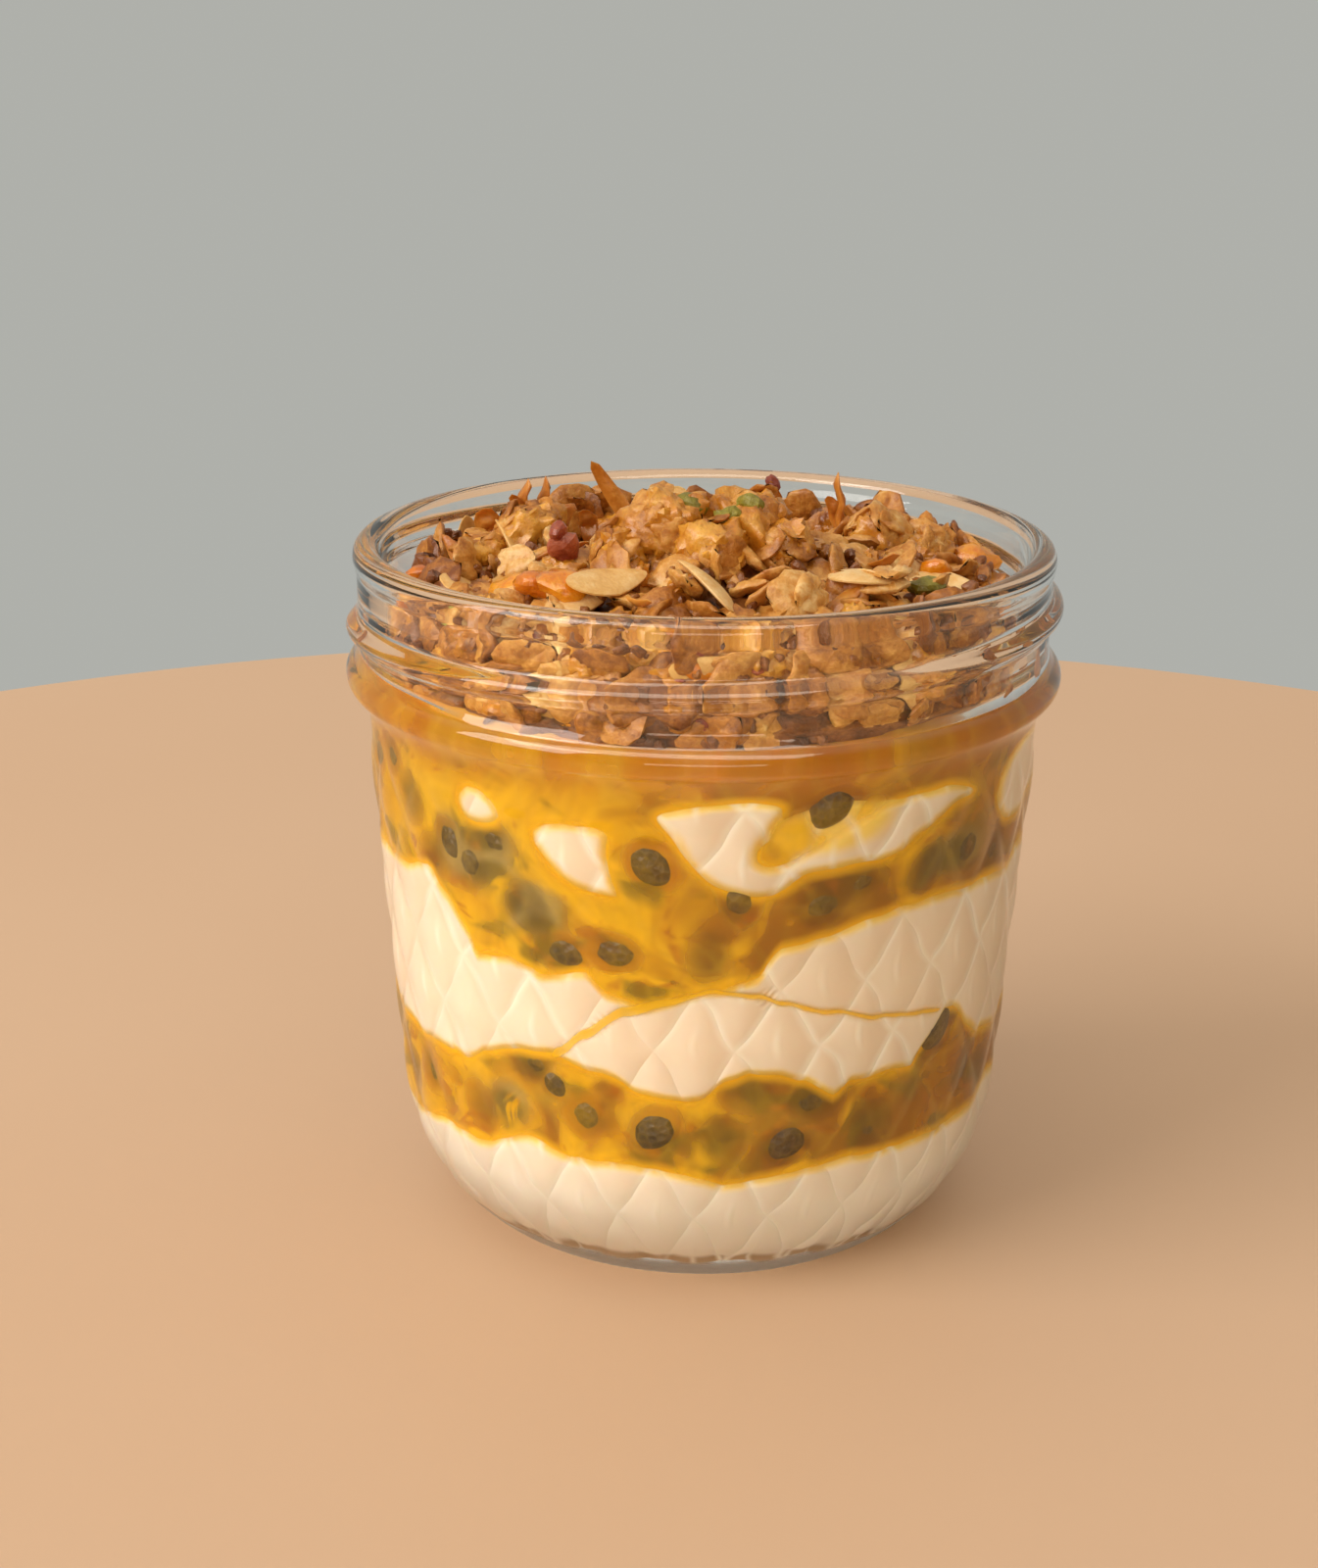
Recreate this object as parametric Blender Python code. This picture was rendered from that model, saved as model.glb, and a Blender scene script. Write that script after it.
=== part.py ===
"""Yogurt parfait in a quilted wide-mouth preserving jar.

Plain yogurt and passion fruit pulp lie in turns in a clear glass jar, under a
rough heap of baked oat granola. Units are metres, +Z is up, the origin is the
centre of the jar's foot, and azimuth 0 is the front, at -Y, turning to +X.
"""
import math
import random

import bmesh
import bpy
from mathutils import Euler, Matrix, Vector, noise

MM = 0.001

# Jar, outside
JAR_HEIGHT = 82.6 * MM
LIP_RADIUS = 41.0 * MM
NECK_RADIUS = 40.6 * MM
BEAD_RADIUS = 42.2 * MM
BEAD_HEIGHT = 67.2 * MM
SHOULDER_HEIGHT = 62.0 * MM
SHOULDER_RADIUS = 39.6 * MM
HEEL_HEIGHT = 17.0 * MM
HEEL_RADIUS = 36.2 * MM
FOOT_RADIUS = 26.0 * MM
FOOT_RING_WIDTH = 2.4 * MM
PUSH_UP = 1.4 * MM
HEEL_POWER = 1.6

# Jar, inside
MOUTH_RADIUS = 38.0 * MM
INNER_SHOULDER_RADIUS = 37.1 * MM
INNER_HEEL_RADIUS = 33.7 * MM
INNER_FLOOR_RADIUS = 23.5 * MM
INNER_FLOOR_HEIGHT = 5.0 * MM
JAR_STEPS = 48

# Diamond quilting pressed into the outside of the jar
QUILT_FIRST_ROW = 18.2 * MM
QUILT_ROW_STEP = 7.15 * MM
QUILT_ROWS = 6
QUILT_START = -1.5
QUILT_RELIEF = 0.45 * MM

# Screw thread
THREAD_PITCH = 6.1 * MM
THREAD_FRONT_HEIGHT = 74.3 * MM
THREAD_RADIUS = 1.5 * MM
THREAD_CREST_RADIUS = 42.0 * MM
THREAD_START = -105.0
THREAD_TURN = 380.0
THREAD_STEP = 10.0

# Contents
FOOD_STEPS = 60
GAP = 0.35 * MM
GRANOLA_FLOOR = 68.2 * MM
PULP_CENTRE_TOP = 67.6 * MM
PASSION_FRUIT = (0.86, 0.47, 0.01)
YOGURT = (0.92, 0.84, 0.74)

# Height of each boundary at the glass, in millimetres, by azimuth in degrees
BOTTOM_YOGURT_TOP = {
    -160: 18.5, -130: 16.5, -100: 17.5, -74: 14.6, -58: 16.3, -34: 18.8, -15: 17.6, 4: 15.9,
    27: 17.3, 54: 17.0, 72: 19.0, 100: 16.8, 135: 18.6,
}
LOWER_PULP_TOP = {
    -165: 29.5, -135: 26.5, -105: 29.0, -80: 27.0, -60: 26.2, -49: 26.6, -35: 30.2, -24: 29.4,
    -11: 26.9, -1: 26.8, 10: 29.8, 20: 26.6, 40: 27.2, 48: 32.4, 60: 28.5, 75: 26.0, 105: 28.6, 140: 31.0,
}
MIDDLE_YOGURT_TOP = {
    -160: 44.0, -125: 48.0, -100: 46.0, -76: 47.3, -56: 48.6, -47: 44.0, -40: 40.6, -27: 41.0,
    -14: 37.8, 0: 39.6, 9: 41.8, 16: 45.4, 30: 47.0, 50: 47.8, 66: 47.0, 90: 48.5, 120: 44.5, 150: 41.5,
}
TOP_YOGURT_BOTTOM = {
    -174: 56.1, -162: 53.9, -138: 55.4, -126: 56.8, -60: 56.5, -42: 57.2, -36: 56.8, -30: 56.6, -24: 52.8,
    -18: 51.6, -6: 56.6, 0: 52.9, 6: 52.3, 12: 51.5, 18: 53.1, 30: 53.6, 36: 54.4, 42: 56.6, 48: 58.0,
    66: 54.3, 78: 54.1, 108: 56.4, 120: 54.5, 138: 52.7, 150: 55.7,
}
TOP_YOGURT_TOP = {
    -174: 58.1, -162: 59.7, -156: 60.7, -138: 60.0, -126: 58.9, -60: 59.5, -42: 60.0, -36: 59.4, -30: 58.2,
    -24: 58.4, -18: 58.8, -6: 60.4, 0: 61.2, 6: 61.4, 12: 55.6, 18: 56.2, 30: 59.2, 42: 60.4, 48: 60.0,
    66: 59.6, 72: 61.9, 78: 61.3, 108: 58.4, 126: 61.0, 144: 60.2, 150: 58.8,
}
PULP_TOP = {
    -165: 29.5, -135: 26.5, -105: 29.0, -80: 27.0, -60: 26.2, -49: 26.6, -35: 30.2, -24: 29.4,
    -11: 26.9, -1: 26.8, 10: 29.8, 20: 26.6, 40: 27.2, 48: 32.4, 60: 28.5, 75: 26.0, 105: 28.6, 140: 31.0,
}
MIDDLE_YOGURT_TOP = {
    -160: 44.0, -125: 48.0, -100: 46.0, -76: 47.3, -56: 48.6, -47: 44.0, -40: 40.6, -27: 41.0,
    -14: 37.8, 0: 39.6, 9: 41.8, 16: 45.4, 30: 47.0, 50: 47.8, 66: 47.0, 90: 48.5, 120: 44.5, 150: 41.5,
}
TOP_YOGURT_BOTTOM = {
    -155: 54.0, -120: 57.0, -60: 56.5, -35: 56.8, -24: 52.6, -16: 51.4, -6: 54.4, 2: 52.6,
    12: 51.6, 24: 53.2, 36: 54.6, 50: 57.4, 68: 54.0, 100: 55.5, 140: 52.5,
}
TOP_YOGURT_TOP = {
    -155: 62.0, -120: 61.0, -60: 59.5, -38: 59.0, -26: 57.8, -14: 59.0, 0: 61.4, 12: 60.4,
    20: 57.6, 32: 59.6, 46: 60.4, 70: 62.5, 100: 61.5, 140: 60.0,
}
PULP_TOP = {-150: 67.0, -95: 69.6, -60: 68.6, -30: 67.4, 0: 67.0, 45: 67.4, 90: 67.0, 140: 68.0}
# Spans of azimuth where the top yogurt reaches the glass
TOP_YOGURT_SPANS = ((-44, -40), (-27, -16), (-8, 48), (64, 80), (108, 152), (186, 230))
LOBE_EDGE = 4.0
LOBE_RETREAT = 0.84

# Granola
GRANOLA_SEED = 11
OAT_FLAKES = 57
CLUSTERS = 9
SLIVERS = 15
# Mounds on the heap, and the hollow between two of them: x, y, width and rise in millimetres
MOUNDS = ((1, -7, 8.5, 3.6), (-21, 2, 8.0, 3.0), (19, 5, 9.0, 4.2), (-10, 5, 5.5, -1.6))
GRANOLA = (0.62, 0.33, 0.11)

# Free space between the back of the heap and the rim
SPACE_FLOOR = 77.4 * MM
SPACE_FRONT = 31.4 * MM
SPACE_WIDTH = 13.0 * MM


def clear_scene():
    for old in list(bpy.data.objects):
        bpy.data.objects.remove(old, do_unlink=True)


def make_collection(name):
    made = bpy.data.collections.new(name)
    bpy.context.scene.collection.children.link(made)
    return made


def make_material(name, colour, roughness, transmission=0.0):
    made = bpy.data.materials.new(name)
    made.use_nodes = True
    shader = made.node_tree.nodes["Principled BSDF"]
    shader.inputs["Base Color"].default_value = (*colour, 1.0)
    shader.inputs["Roughness"].default_value = roughness
    shader.inputs["Metallic"].default_value = 0.0
    shader.inputs["Transmission Weight"].default_value = transmission
    return made


def make_object(name, mesh_data, collection, material=None):
    """Turns a bmesh into a named, smooth-shaded object."""
    bmesh.ops.recalc_face_normals(mesh_data, faces=mesh_data.faces)
    mesh = bpy.data.meshes.new(name)
    mesh_data.to_mesh(mesh)
    mesh_data.free()
    mesh.shade_smooth()
    mesh.set_sharp_from_angle(angle=math.radians(40))
    if material:
        mesh.materials.append(material)
    made = bpy.data.objects.new(name, mesh)
    collection.objects.link(made)
    return made


def turned(profile, steps, start=0.0):
    """A bmesh turned about Z from (radius, height) pairs that start and end on the axis."""
    made = bmesh.new()
    points = [made.verts.new(at_azimuth(start, radius, height)) for radius, height in profile]
    edges = [made.edges.new(pair) for pair in zip(points, points[1:])]
    bmesh.ops.spin(
        made, geom=points + edges, cent=(0, 0, 0), axis=(0, 0, 1),
        angle=2 * math.pi, steps=steps, use_merge=True,
    )
    bmesh.ops.remove_doubles(made, verts=made.verts, dist=1e-6)
    return made


def azimuth_of(point):
    """Degrees from the front, turning towards +X."""
    return math.degrees(math.atan2(point.x, -point.y))


def at_azimuth(degrees, radius, height):
    turn = math.radians(degrees)
    return Vector((radius * math.sin(turn), -radius * math.cos(turn), height))


def between(low, high, share):
    return low + (high - low) * share


def eased(share):
    share = min(1.0, max(0.0, share))
    return share * share * (3 - 2 * share)


def ring_height(heights, azimuth):
    """The height at an azimuth, eased between the stated ones, in metres."""
    stops = sorted(heights)
    azimuth = (azimuth - stops[0]) % 360 + stops[0]
    for start, end in zip(stops, stops[1:] + [stops[0] + 360]):
        if azimuth <= end:
            share = (azimuth - start) / (end - start)
            return between(heights[start], heights[stops[0] if end - 360 == stops[0] else end], eased(share)) * MM
    return heights[stops[0]] * MM


def heel_curve(height, floor, top, floor_radius, top_radius):
    """Radius on the rounded heel, whose section is a flattened quarter oval."""
    left = min(1.0, max(0.0, 1 - (height - floor) / (top - floor)))
    return floor_radius + (top_radius - floor_radius) * (1 - left ** HEEL_POWER) ** (1 / HEEL_POWER)


def outer_radius(height):
    if height < HEEL_HEIGHT:
        return heel_curve(height, 0.0, HEEL_HEIGHT, FOOT_RADIUS, HEEL_RADIUS)
    share = (height - HEEL_HEIGHT) / (SHOULDER_HEIGHT - HEEL_HEIGHT)
    return between(HEEL_RADIUS, SHOULDER_RADIUS, share)


def inner_radius(height):
    if height < HEEL_HEIGHT:
        return heel_curve(height, INNER_FLOOR_HEIGHT, HEEL_HEIGHT, INNER_FLOOR_RADIUS, INNER_HEEL_RADIUS)
    if height < SHOULDER_HEIGHT:
        share = (height - HEEL_HEIGHT) / (SHOULDER_HEIGHT - HEEL_HEIGHT)
        return between(INNER_HEEL_RADIUS, INNER_SHOULDER_RADIUS, share)
    share = (height - SHOULDER_HEIGHT) / (JAR_HEIGHT - SHOULDER_HEIGHT)
    return between(INNER_SHOULDER_RADIUS, MOUTH_RADIUS, share)


def jar_profile():
    """Inside floor, up the inner wall, over the lip, down the outside, and under the foot."""
    inner_heel = [
        between(INNER_FLOOR_HEIGHT, HEEL_HEIGHT, 1 - math.cos(math.radians(turn)))
        for turn in (0, 26, 46, 66, 90)
    ]
    inside = [(0.0, INNER_FLOOR_HEIGHT + 0.6 * MM), (0.6 * INNER_FLOOR_RADIUS, INNER_FLOOR_HEIGHT + 0.3 * MM)]
    inside += [(inner_radius(height), height) for height in inner_heel]
    inside.append((INNER_SHOULDER_RADIUS, SHOULDER_HEIGHT))
    lip = [
        (MOUTH_RADIUS, JAR_HEIGHT - 1.6 * MM),
        (MOUTH_RADIUS + 0.5 * MM, JAR_HEIGHT - 0.4 * MM),
        (MOUTH_RADIUS + 1.4 * MM, JAR_HEIGHT),
        (LIP_RADIUS - 0.5 * MM, JAR_HEIGHT - 0.3 * MM),
        (LIP_RADIUS, JAR_HEIGHT - 1.3 * MM),
        (LIP_RADIUS, JAR_HEIGHT - 2.4 * MM),
        (NECK_RADIUS, JAR_HEIGHT - 3.2 * MM),
    ]
    bead = [
        (NECK_RADIUS, BEAD_HEIGHT + 2.6 * MM),
        (BEAD_RADIUS - 0.4 * MM, BEAD_HEIGHT + 1.7 * MM),
        (BEAD_RADIUS, BEAD_HEIGHT + 0.8 * MM),
        (BEAD_RADIUS, BEAD_HEIGHT - 0.8 * MM),
        (BEAD_RADIUS - 0.7 * MM, BEAD_HEIGHT - 2.1 * MM),
        (SHOULDER_RADIUS + 0.5 * MM, BEAD_HEIGHT - 3.6 * MM),
        (SHOULDER_RADIUS, SHOULDER_HEIGHT),
    ]
    quilt = [QUILT_FIRST_ROW + QUILT_ROW_STEP * row for row in reversed(range(QUILT_ROWS))]
    body = [(outer_radius(height), height) for height in quilt]
    heel = [(outer_radius(height), height) for height in (12.0 * MM, 7.5 * MM, 3.6 * MM, 1.0 * MM, 0.0)]
    foot = [
        (FOOT_RADIUS - FOOT_RING_WIDTH, 0.0),
        (FOOT_RADIUS - FOOT_RING_WIDTH - 2.2 * MM, PUSH_UP * 0.7),
        (0.5 * FOOT_RADIUS, PUSH_UP),
        (0.0, PUSH_UP),
    ]
    return inside + lip + bead + body + heel + foot


def quilt_row(point):
    """The row of diamonds that a point of the outer wall lies on, or None."""
    row = round((point.z - QUILT_FIRST_ROW) / QUILT_ROW_STEP)
    on_row = abs(point.z - QUILT_FIRST_ROW - QUILT_ROW_STEP * row) < 1e-5
    outside = math.hypot(point.x, point.y) > (inner_radius(point.z) + outer_radius(point.z)) / 2
    return row if on_row and outside and 0 <= row < QUILT_ROWS else None


def press_quilting(jar):
    """Raises the middle of every diamond, and splits each wall face along its seam between diamonds."""
    seams = set()
    for vert in jar.verts:
        row = quilt_row(vert.co)
        if row is None:
            continue
        column = round((azimuth_of(vert.co) - QUILT_START) * JAR_STEPS / 360)
        if (column + row) % 2 == 0:
            across = Vector((vert.co.x, vert.co.y, 0)).normalized()
            vert.co += across * QUILT_RELIEF * (0.5 if row == QUILT_ROWS - 1 else 1.0)
        else:
            seams.add(vert)
    for face in list(jar.faces):
        corners = [vert for vert in face.verts if vert in seams]
        if len(face.verts) == 4 and len(corners) == 2:
            bmesh.utils.face_split(face, corners[0], corners[1])


def thread_tool(collection):
    """The thread as a helical rod with rounded, sunken ends, made a mesh for the union."""
    curve = bpy.data.curves.new("thread_line", "CURVE")
    curve.dimensions = "3D"
    curve.bevel_depth = THREAD_RADIUS
    curve.bevel_resolution = 1
    curve.use_fill_caps = True
    line = curve.splines.new("POLY")
    count = int(THREAD_TURN / THREAD_STEP) + 1
    line.points.add(count - 1)
    for index, point in enumerate(line.points):
        azimuth = THREAD_START + THREAD_STEP * index
        height = THREAD_FRONT_HEIGHT + THREAD_PITCH * azimuth / 360
        sunk = 1.5 * MM if index in (0, count - 1) else 0.0
        place = at_azimuth(azimuth, THREAD_CREST_RADIUS - THREAD_RADIUS - sunk, height)
        point.co = (*place, 1.0)
    rod = bpy.data.objects.new("thread_rod", curve)
    collection.objects.link(rod)
    graph = bpy.context.evaluated_depsgraph_get()
    mesh = bpy.data.meshes.new_from_object(rod.evaluated_get(graph))
    bpy.data.objects.remove(rod)
    welded = bmesh.new()
    welded.from_mesh(mesh)
    bmesh.ops.remove_doubles(welded, verts=welded.verts, dist=1e-6)
    return make_object("thread_tool", welded, collection)


def apply_boolean(target, operation, tool=None, tools=None, solver="EXACT"):
    """Joins or cuts target for good, and removes what it was joined or cut with."""
    modifier = target.modifiers.new("Join", "BOOLEAN")
    modifier.operation = operation
    modifier.solver = solver
    if tools:
        modifier.operand_type = "COLLECTION"
        modifier.collection = tools
    else:
        modifier.object = tool
    graph = bpy.context.evaluated_depsgraph_get()
    mesh = bpy.data.meshes.new_from_object(target.evaluated_get(graph))
    target.modifiers.clear()
    target.data = mesh
    for used in list(tools.objects) if tools else [tool]:
        bpy.data.objects.remove(used, do_unlink=True)


def keep_main_body(target):
    """Drops loose scraps and sealed hollows, keeping the piece with the most faces."""
    made = bmesh.new()
    made.from_mesh(target.data)
    left = set(made.faces)
    islands = []
    while left:
        island = set()
        front = [left.pop()]
        while front:
            face = front.pop()
            island.add(face)
            near = {other for edge in face.edges for other in edge.link_faces} & left
            left -= near
            front += near
        islands.append(island)
    islands.sort(key=len)
    for island in islands[:-1]:
        bmesh.ops.delete(made, geom=list(island), context="FACES")
    bmesh.ops.triangulate(made, faces=made.faces)
    made.to_mesh(target.data)
    made.free()


def build_jar(collection, cutters, material):
    jar_mesh = turned(jar_profile(), JAR_STEPS, QUILT_START)
    press_quilting(jar_mesh)
    jar = make_object("jar", jar_mesh, collection, material)
    apply_boolean(jar, "UNION", tool=thread_tool(cutters))
    keep_main_body(jar)
    return jar


def food_radius(height):
    return inner_radius(height) - GAP


def drum(bottom, top, side_levels=(), reach=None):
    """A layer of food, between heights that bottom and top give for an azimuth and a share of the radius."""
    levels = [0.0, *side_levels, 1.0]
    rings = [(0.0, 0.0)] + [(1.0, level) for level in levels] + [(0.6, 1.0), (0.0, 1.0)]
    if bottom(0.0, 1.0) != bottom(0.0, 0.0):
        rings.insert(1, (0.6, 0.0))
    made = turned(rings, FOOD_STEPS)
    for vert in made.verts:
        share = math.hypot(vert.co.x, vert.co.y)
        azimuth = azimuth_of(vert.co)
        height = between(bottom(azimuth, share), top(azimuth, share), vert.co.z)
        radius = share * food_radius(height) * (reach(azimuth) if reach else 1.0)
        vert.co = at_azimuth(azimuth, radius, height)
    return made


def wavy(heights, centre, lift=0.0):
    """A boundary that has the stated heights at the glass and evens out towards the middle."""
    def height_at(azimuth, share):
        return between(centre, ring_height(heights, azimuth), eased(share)) + lift
    return height_at


def level(height):
    return lambda azimuth, share: height


def lobe_reach(azimuth, spread=0.0):
    """1 where the top yogurt touches the glass, and less where passion fruit runs in front of it."""
    best = 0.0
    for start, end in TOP_YOGURT_SPANS:
        middle = (start + end) / 2
        off = abs((azimuth - middle + 180) % 360 - 180) - (end - start) / 2 - spread
        best = max(best, 1 - eased(off / LOBE_EDGE))
    return between(LOBE_RETREAT, 1.0, best)


def build_layers(collection, cutters, yogurt, fruit):
    floor = INNER_FLOOR_HEIGHT + 1.0 * MM
    above = GAP
    make_object(
        "yogurt_bottom",
        drum(level(floor), wavy(BOTTOM_YOGURT_TOP, 17.0 * MM), (0.1, 0.3, 0.6)),
        collection, yogurt,
    )
    make_object(
        "passion_fruit_lower",
        drum(wavy(BOTTOM_YOGURT_TOP, 17.0 * MM, above), wavy(LOWER_PULP_TOP, 28.0 * MM)),
        collection, fruit,
    )
    make_object(
        "yogurt_middle",
        drum(wavy(LOWER_PULP_TOP, 28.0 * MM, above), wavy(MIDDLE_YOGURT_TOP, 43.0 * MM)),
        collection, yogurt,
    )
    make_object(
        "yogurt_top",
        drum(wavy(TOP_YOGURT_BOTTOM, 54.0 * MM), wavy(TOP_YOGURT_TOP, 61.0 * MM), reach=lobe_reach),
        collection, yogurt,
    )
    upper = make_object(
        "passion_fruit_upper",
        drum(wavy(MIDDLE_YOGURT_TOP, 43.0 * MM, above), wavy(PULP_TOP, PULP_CENTRE_TOP, -above)),
        collection, fruit,
    )

    def cutter_reach(azimuth):
        reach = lobe_reach(azimuth, 1.2)
        return 1.08 if reach > 0.985 else reach + 0.016

    pocket = drum(
        wavy(TOP_YOGURT_BOTTOM, 54.0 * MM, -above), wavy(TOP_YOGURT_TOP, 61.0 * MM, above), reach=cutter_reach
    )
    apply_boolean(upper, "DIFFERENCE", tool=make_object("yogurt_pocket", pocket, cutters))
    keep_main_body(upper)


def heap_radius(azimuth, height):
    """Outline of the granola core: against the glass at its foot and its front, clear of it at the left and right."""
    share = eased((height - 69.0 * MM) / (6.0 * MM))
    drawn_in = between(1.0 * MM, 5.2 * MM, abs(math.sin(math.radians(azimuth))) ** 1.6)
    return inner_radius(height) - GAP - 0.25 * MM - drawn_in * share


def heap_height(x, y):
    """Top of the granola core under the loose pieces: three mounds, falling away to a low back."""
    across = math.hypot(x, y) / MOUTH_RADIUS
    height = 81.2 - 5.6 * across ** 3 - 5.6 * (1 - math.exp(-max(0.0, y / MM + 4) / 14))
    for centre_x, centre_y, width, rise in MOUNDS:
        off = math.hypot(x / MM - centre_x, y / MM - centre_y)
        height += rise * math.exp(-(off / width) ** 2)
    return height * MM


def granola_core(collection, material):
    """The packed middle of the heap, with bumps the size of oat clusters."""
    profile = [(0.0, 0.0), (0.6, 0.0), (1.0, 0.0), (1.0, 0.35), (1.0, 0.7), (0.95, 0.93)]
    profile += [(0.82, 1.0), (0.6, 1.0), (0.34, 1.0), (0.0, 1.0)]
    core = turned(profile, 36)
    for vert in core.verts:
        share, rise, azimuth = math.hypot(vert.co.x, vert.co.y), vert.co.z, azimuth_of(vert.co)
        around = at_azimuth(azimuth, share * 33 * MM, 0)
        height = between(GRANOLA_FLOOR, heap_height(around.x, around.y), rise)
        if rise < 0.01:
            height += ring_height(PULP_TOP, azimuth) * eased(share) - PULP_CENTRE_TOP * eased(share)
        place = at_azimuth(azimuth, share * heap_radius(azimuth, height), height)
        if rise > 0.01:
            bump = noise.noise(place * 170)
            place.z += bump * 1.1 * MM
            place -= Vector((place.x, place.y, 0)) * max(0.0, -bump) * 0.03
        vert.co = place
    return make_object("granola", core, collection, material)


def oat_flake(dice):
    """A rolled oat: a thin oval with a tapering edge."""
    flake = bmesh.new()
    bmesh.ops.create_cone(
        flake, cap_ends=True, segments=7, radius1=1.0, radius2=0.72, depth=1.0,
    )
    length = dice.uniform(3.2, 4.4) * MM
    width = length * dice.uniform(0.6, 0.8)
    thick = dice.uniform(1.1, 1.6) * MM
    bmesh.ops.scale(flake, vec=(length, width, thick), verts=flake.verts)
    bow = dice.uniform(0.0, 0.6) * MM
    for vert in flake.verts:
        vert.co.z += bow * (vert.co.x / length) ** 2
    return flake


def cluster(dice):
    """A nugget of oats baked together."""
    nugget = bmesh.new()
    bmesh.ops.create_icosphere(nugget, subdivisions=2, radius=1.0)
    size = dice.uniform(3.0, 4.8) * MM
    shape = (size, size * dice.uniform(0.75, 1.0), size * dice.uniform(0.55, 0.8))
    seed = Vector([dice.uniform(-9, 9) for _ in range(3)])
    for vert in nugget.verts:
        vert.co *= 1 + 0.42 * noise.noise(vert.co * 1.7 + seed)
    bmesh.ops.scale(nugget, vec=shape, verts=nugget.verts)
    return nugget


def sliver(dice, length=None):
    """A strip of almond or coconut: a thin bowed bar with narrowed ends."""
    strip = bmesh.new()
    bmesh.ops.create_cube(strip, size=1.0)
    bmesh.ops.subdivide_edges(
        strip, edges=[e for e in strip.edges if abs(e.verts[0].co.x - e.verts[1].co.x) > 0.5], cuts=2,
    )
    length = length or dice.uniform(6.5, 10.0) * MM
    width = dice.uniform(1.9, 3.0) * MM
    thick = dice.uniform(0.9, 1.3) * MM
    bow = dice.uniform(0.5, 1.6) * MM
    for vert in strip.verts:
        narrow = 1 - 0.9 * abs(vert.co.x) ** 2
        vert.co = Vector((vert.co.x * length, vert.co.y * width * narrow, vert.co.z * thick))
        vert.co.z -= bow * (2 * vert.co.x / length) ** 2
    return strip


def settle(piece):
    """Moves a placed piece clear of the glass, of the fruit under the heap and of the free space at its back."""
    in_space = [vert.co.z for vert in piece.verts if abs(vert.co.x) < SPACE_WIDTH / 2 and vert.co.y > SPACE_FRONT]
    if in_space:
        drop = max(0.0, max(in_space) - SPACE_FLOOR)
        bmesh.ops.translate(piece, vec=(0, 0, -drop), verts=piece.verts)
    lift = max(0.0, GRANOLA_FLOOR + 2.2 * MM - min(vert.co.z for vert in piece.verts))
    bmesh.ops.translate(piece, vec=(0, 0, lift), verts=piece.verts)
    for _ in range(2):
        over, push = 0.0, Vector()
        for vert in piece.verts:
            flat = Vector((vert.co.x, vert.co.y, 0))
            free = inner_radius(min(vert.co.z, JAR_HEIGHT)) - GAP - 0.25 * MM
            if flat.length - free > over:
                over, push = flat.length - free, -flat.normalized() * (flat.length - free)
        bmesh.ops.translate(piece, vec=push, verts=piece.verts)


def add_piece(piece, place, turn, loose, name):
    matrix = Matrix.Translation(place) @ turn.to_matrix().to_4x4()
    bmesh.ops.transform(piece, matrix=matrix, verts=piece.verts)
    settle(piece)
    make_object(name, piece, loose)


def random_turn(dice, tilt):
    return Euler((dice.uniform(-tilt, tilt), dice.uniform(-tilt, tilt), dice.uniform(0, 2 * math.pi)))


def scatter_over_top(make, count, tilt, sink, dice, loose, name):
    """Spreads pieces evenly over the top of the heap along a sunflower spiral."""
    offset = dice.uniform(0, 360)
    for index in range(count):
        share = math.sqrt((index + 0.5) / count)
        azimuth = offset + index * 137.508
        place = at_azimuth(azimuth, share * 35.0 * MM, 0)
        place.x += dice.uniform(-1, 1) * MM
        place.y += dice.uniform(-1, 1) * MM
        place.z = heap_height(place.x, place.y) + sink
        add_piece(make(dice), place, random_turn(dice, tilt), loose, f"{name}_{index}")


def scatter_round_side(make, count, dice, loose, name):
    """Stands pieces round the side of the heap, flat side out, as they show through the glass."""
    for index in range(count):
        azimuth = index * 360 / count + dice.uniform(-5, 5)
        height = dice.uniform(71.8, 79.0) * MM
        edge = at_azimuth(azimuth, 33 * MM, 0)
        height = min(height, heap_height(edge.x, edge.y) - 0.8 * MM)
        place = at_azimuth(azimuth, heap_radius(azimuth, height) - 0.1 * MM, height)
        upright = Euler((math.radians(90) + dice.uniform(-0.3, 0.3), dice.uniform(0, 3.1), 0))
        upright.rotate(Euler((0, 0, math.radians(azimuth))))
        add_piece(make(dice), place, upright, loose, f"{name}_{index}")


# Tall strips that stand out of the heap: x, y, foot height and length in millimetres, lean from upright and its bearing
STANDING_STRIPS = (
    (-22, 8, 80, 11, 12, -100), (-19, 9, 80, 12, 8, 60), (-17, 5, 80, 9, 24, 110), (-13, 13, 76.8, 17, 35, -70),
    (17, 9, 79, 11, 10, -60), (9, 15, 77.6, 12, 12, 30), (-29, 1, 77, 8, 14, -90), (22, 4, 81.5, 8, 55, 120),
)
# Large clusters at the top: x, y, height and size factor
TOP_CLUSTERS = ((-3, -8, 85.6, 1.25), (5, -6, 85.8, 1.2), (1, -13, 83.2, 1.1), (-20, 2, 82.6, 1.0), (28, 10, 77.4, 1.0))


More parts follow.
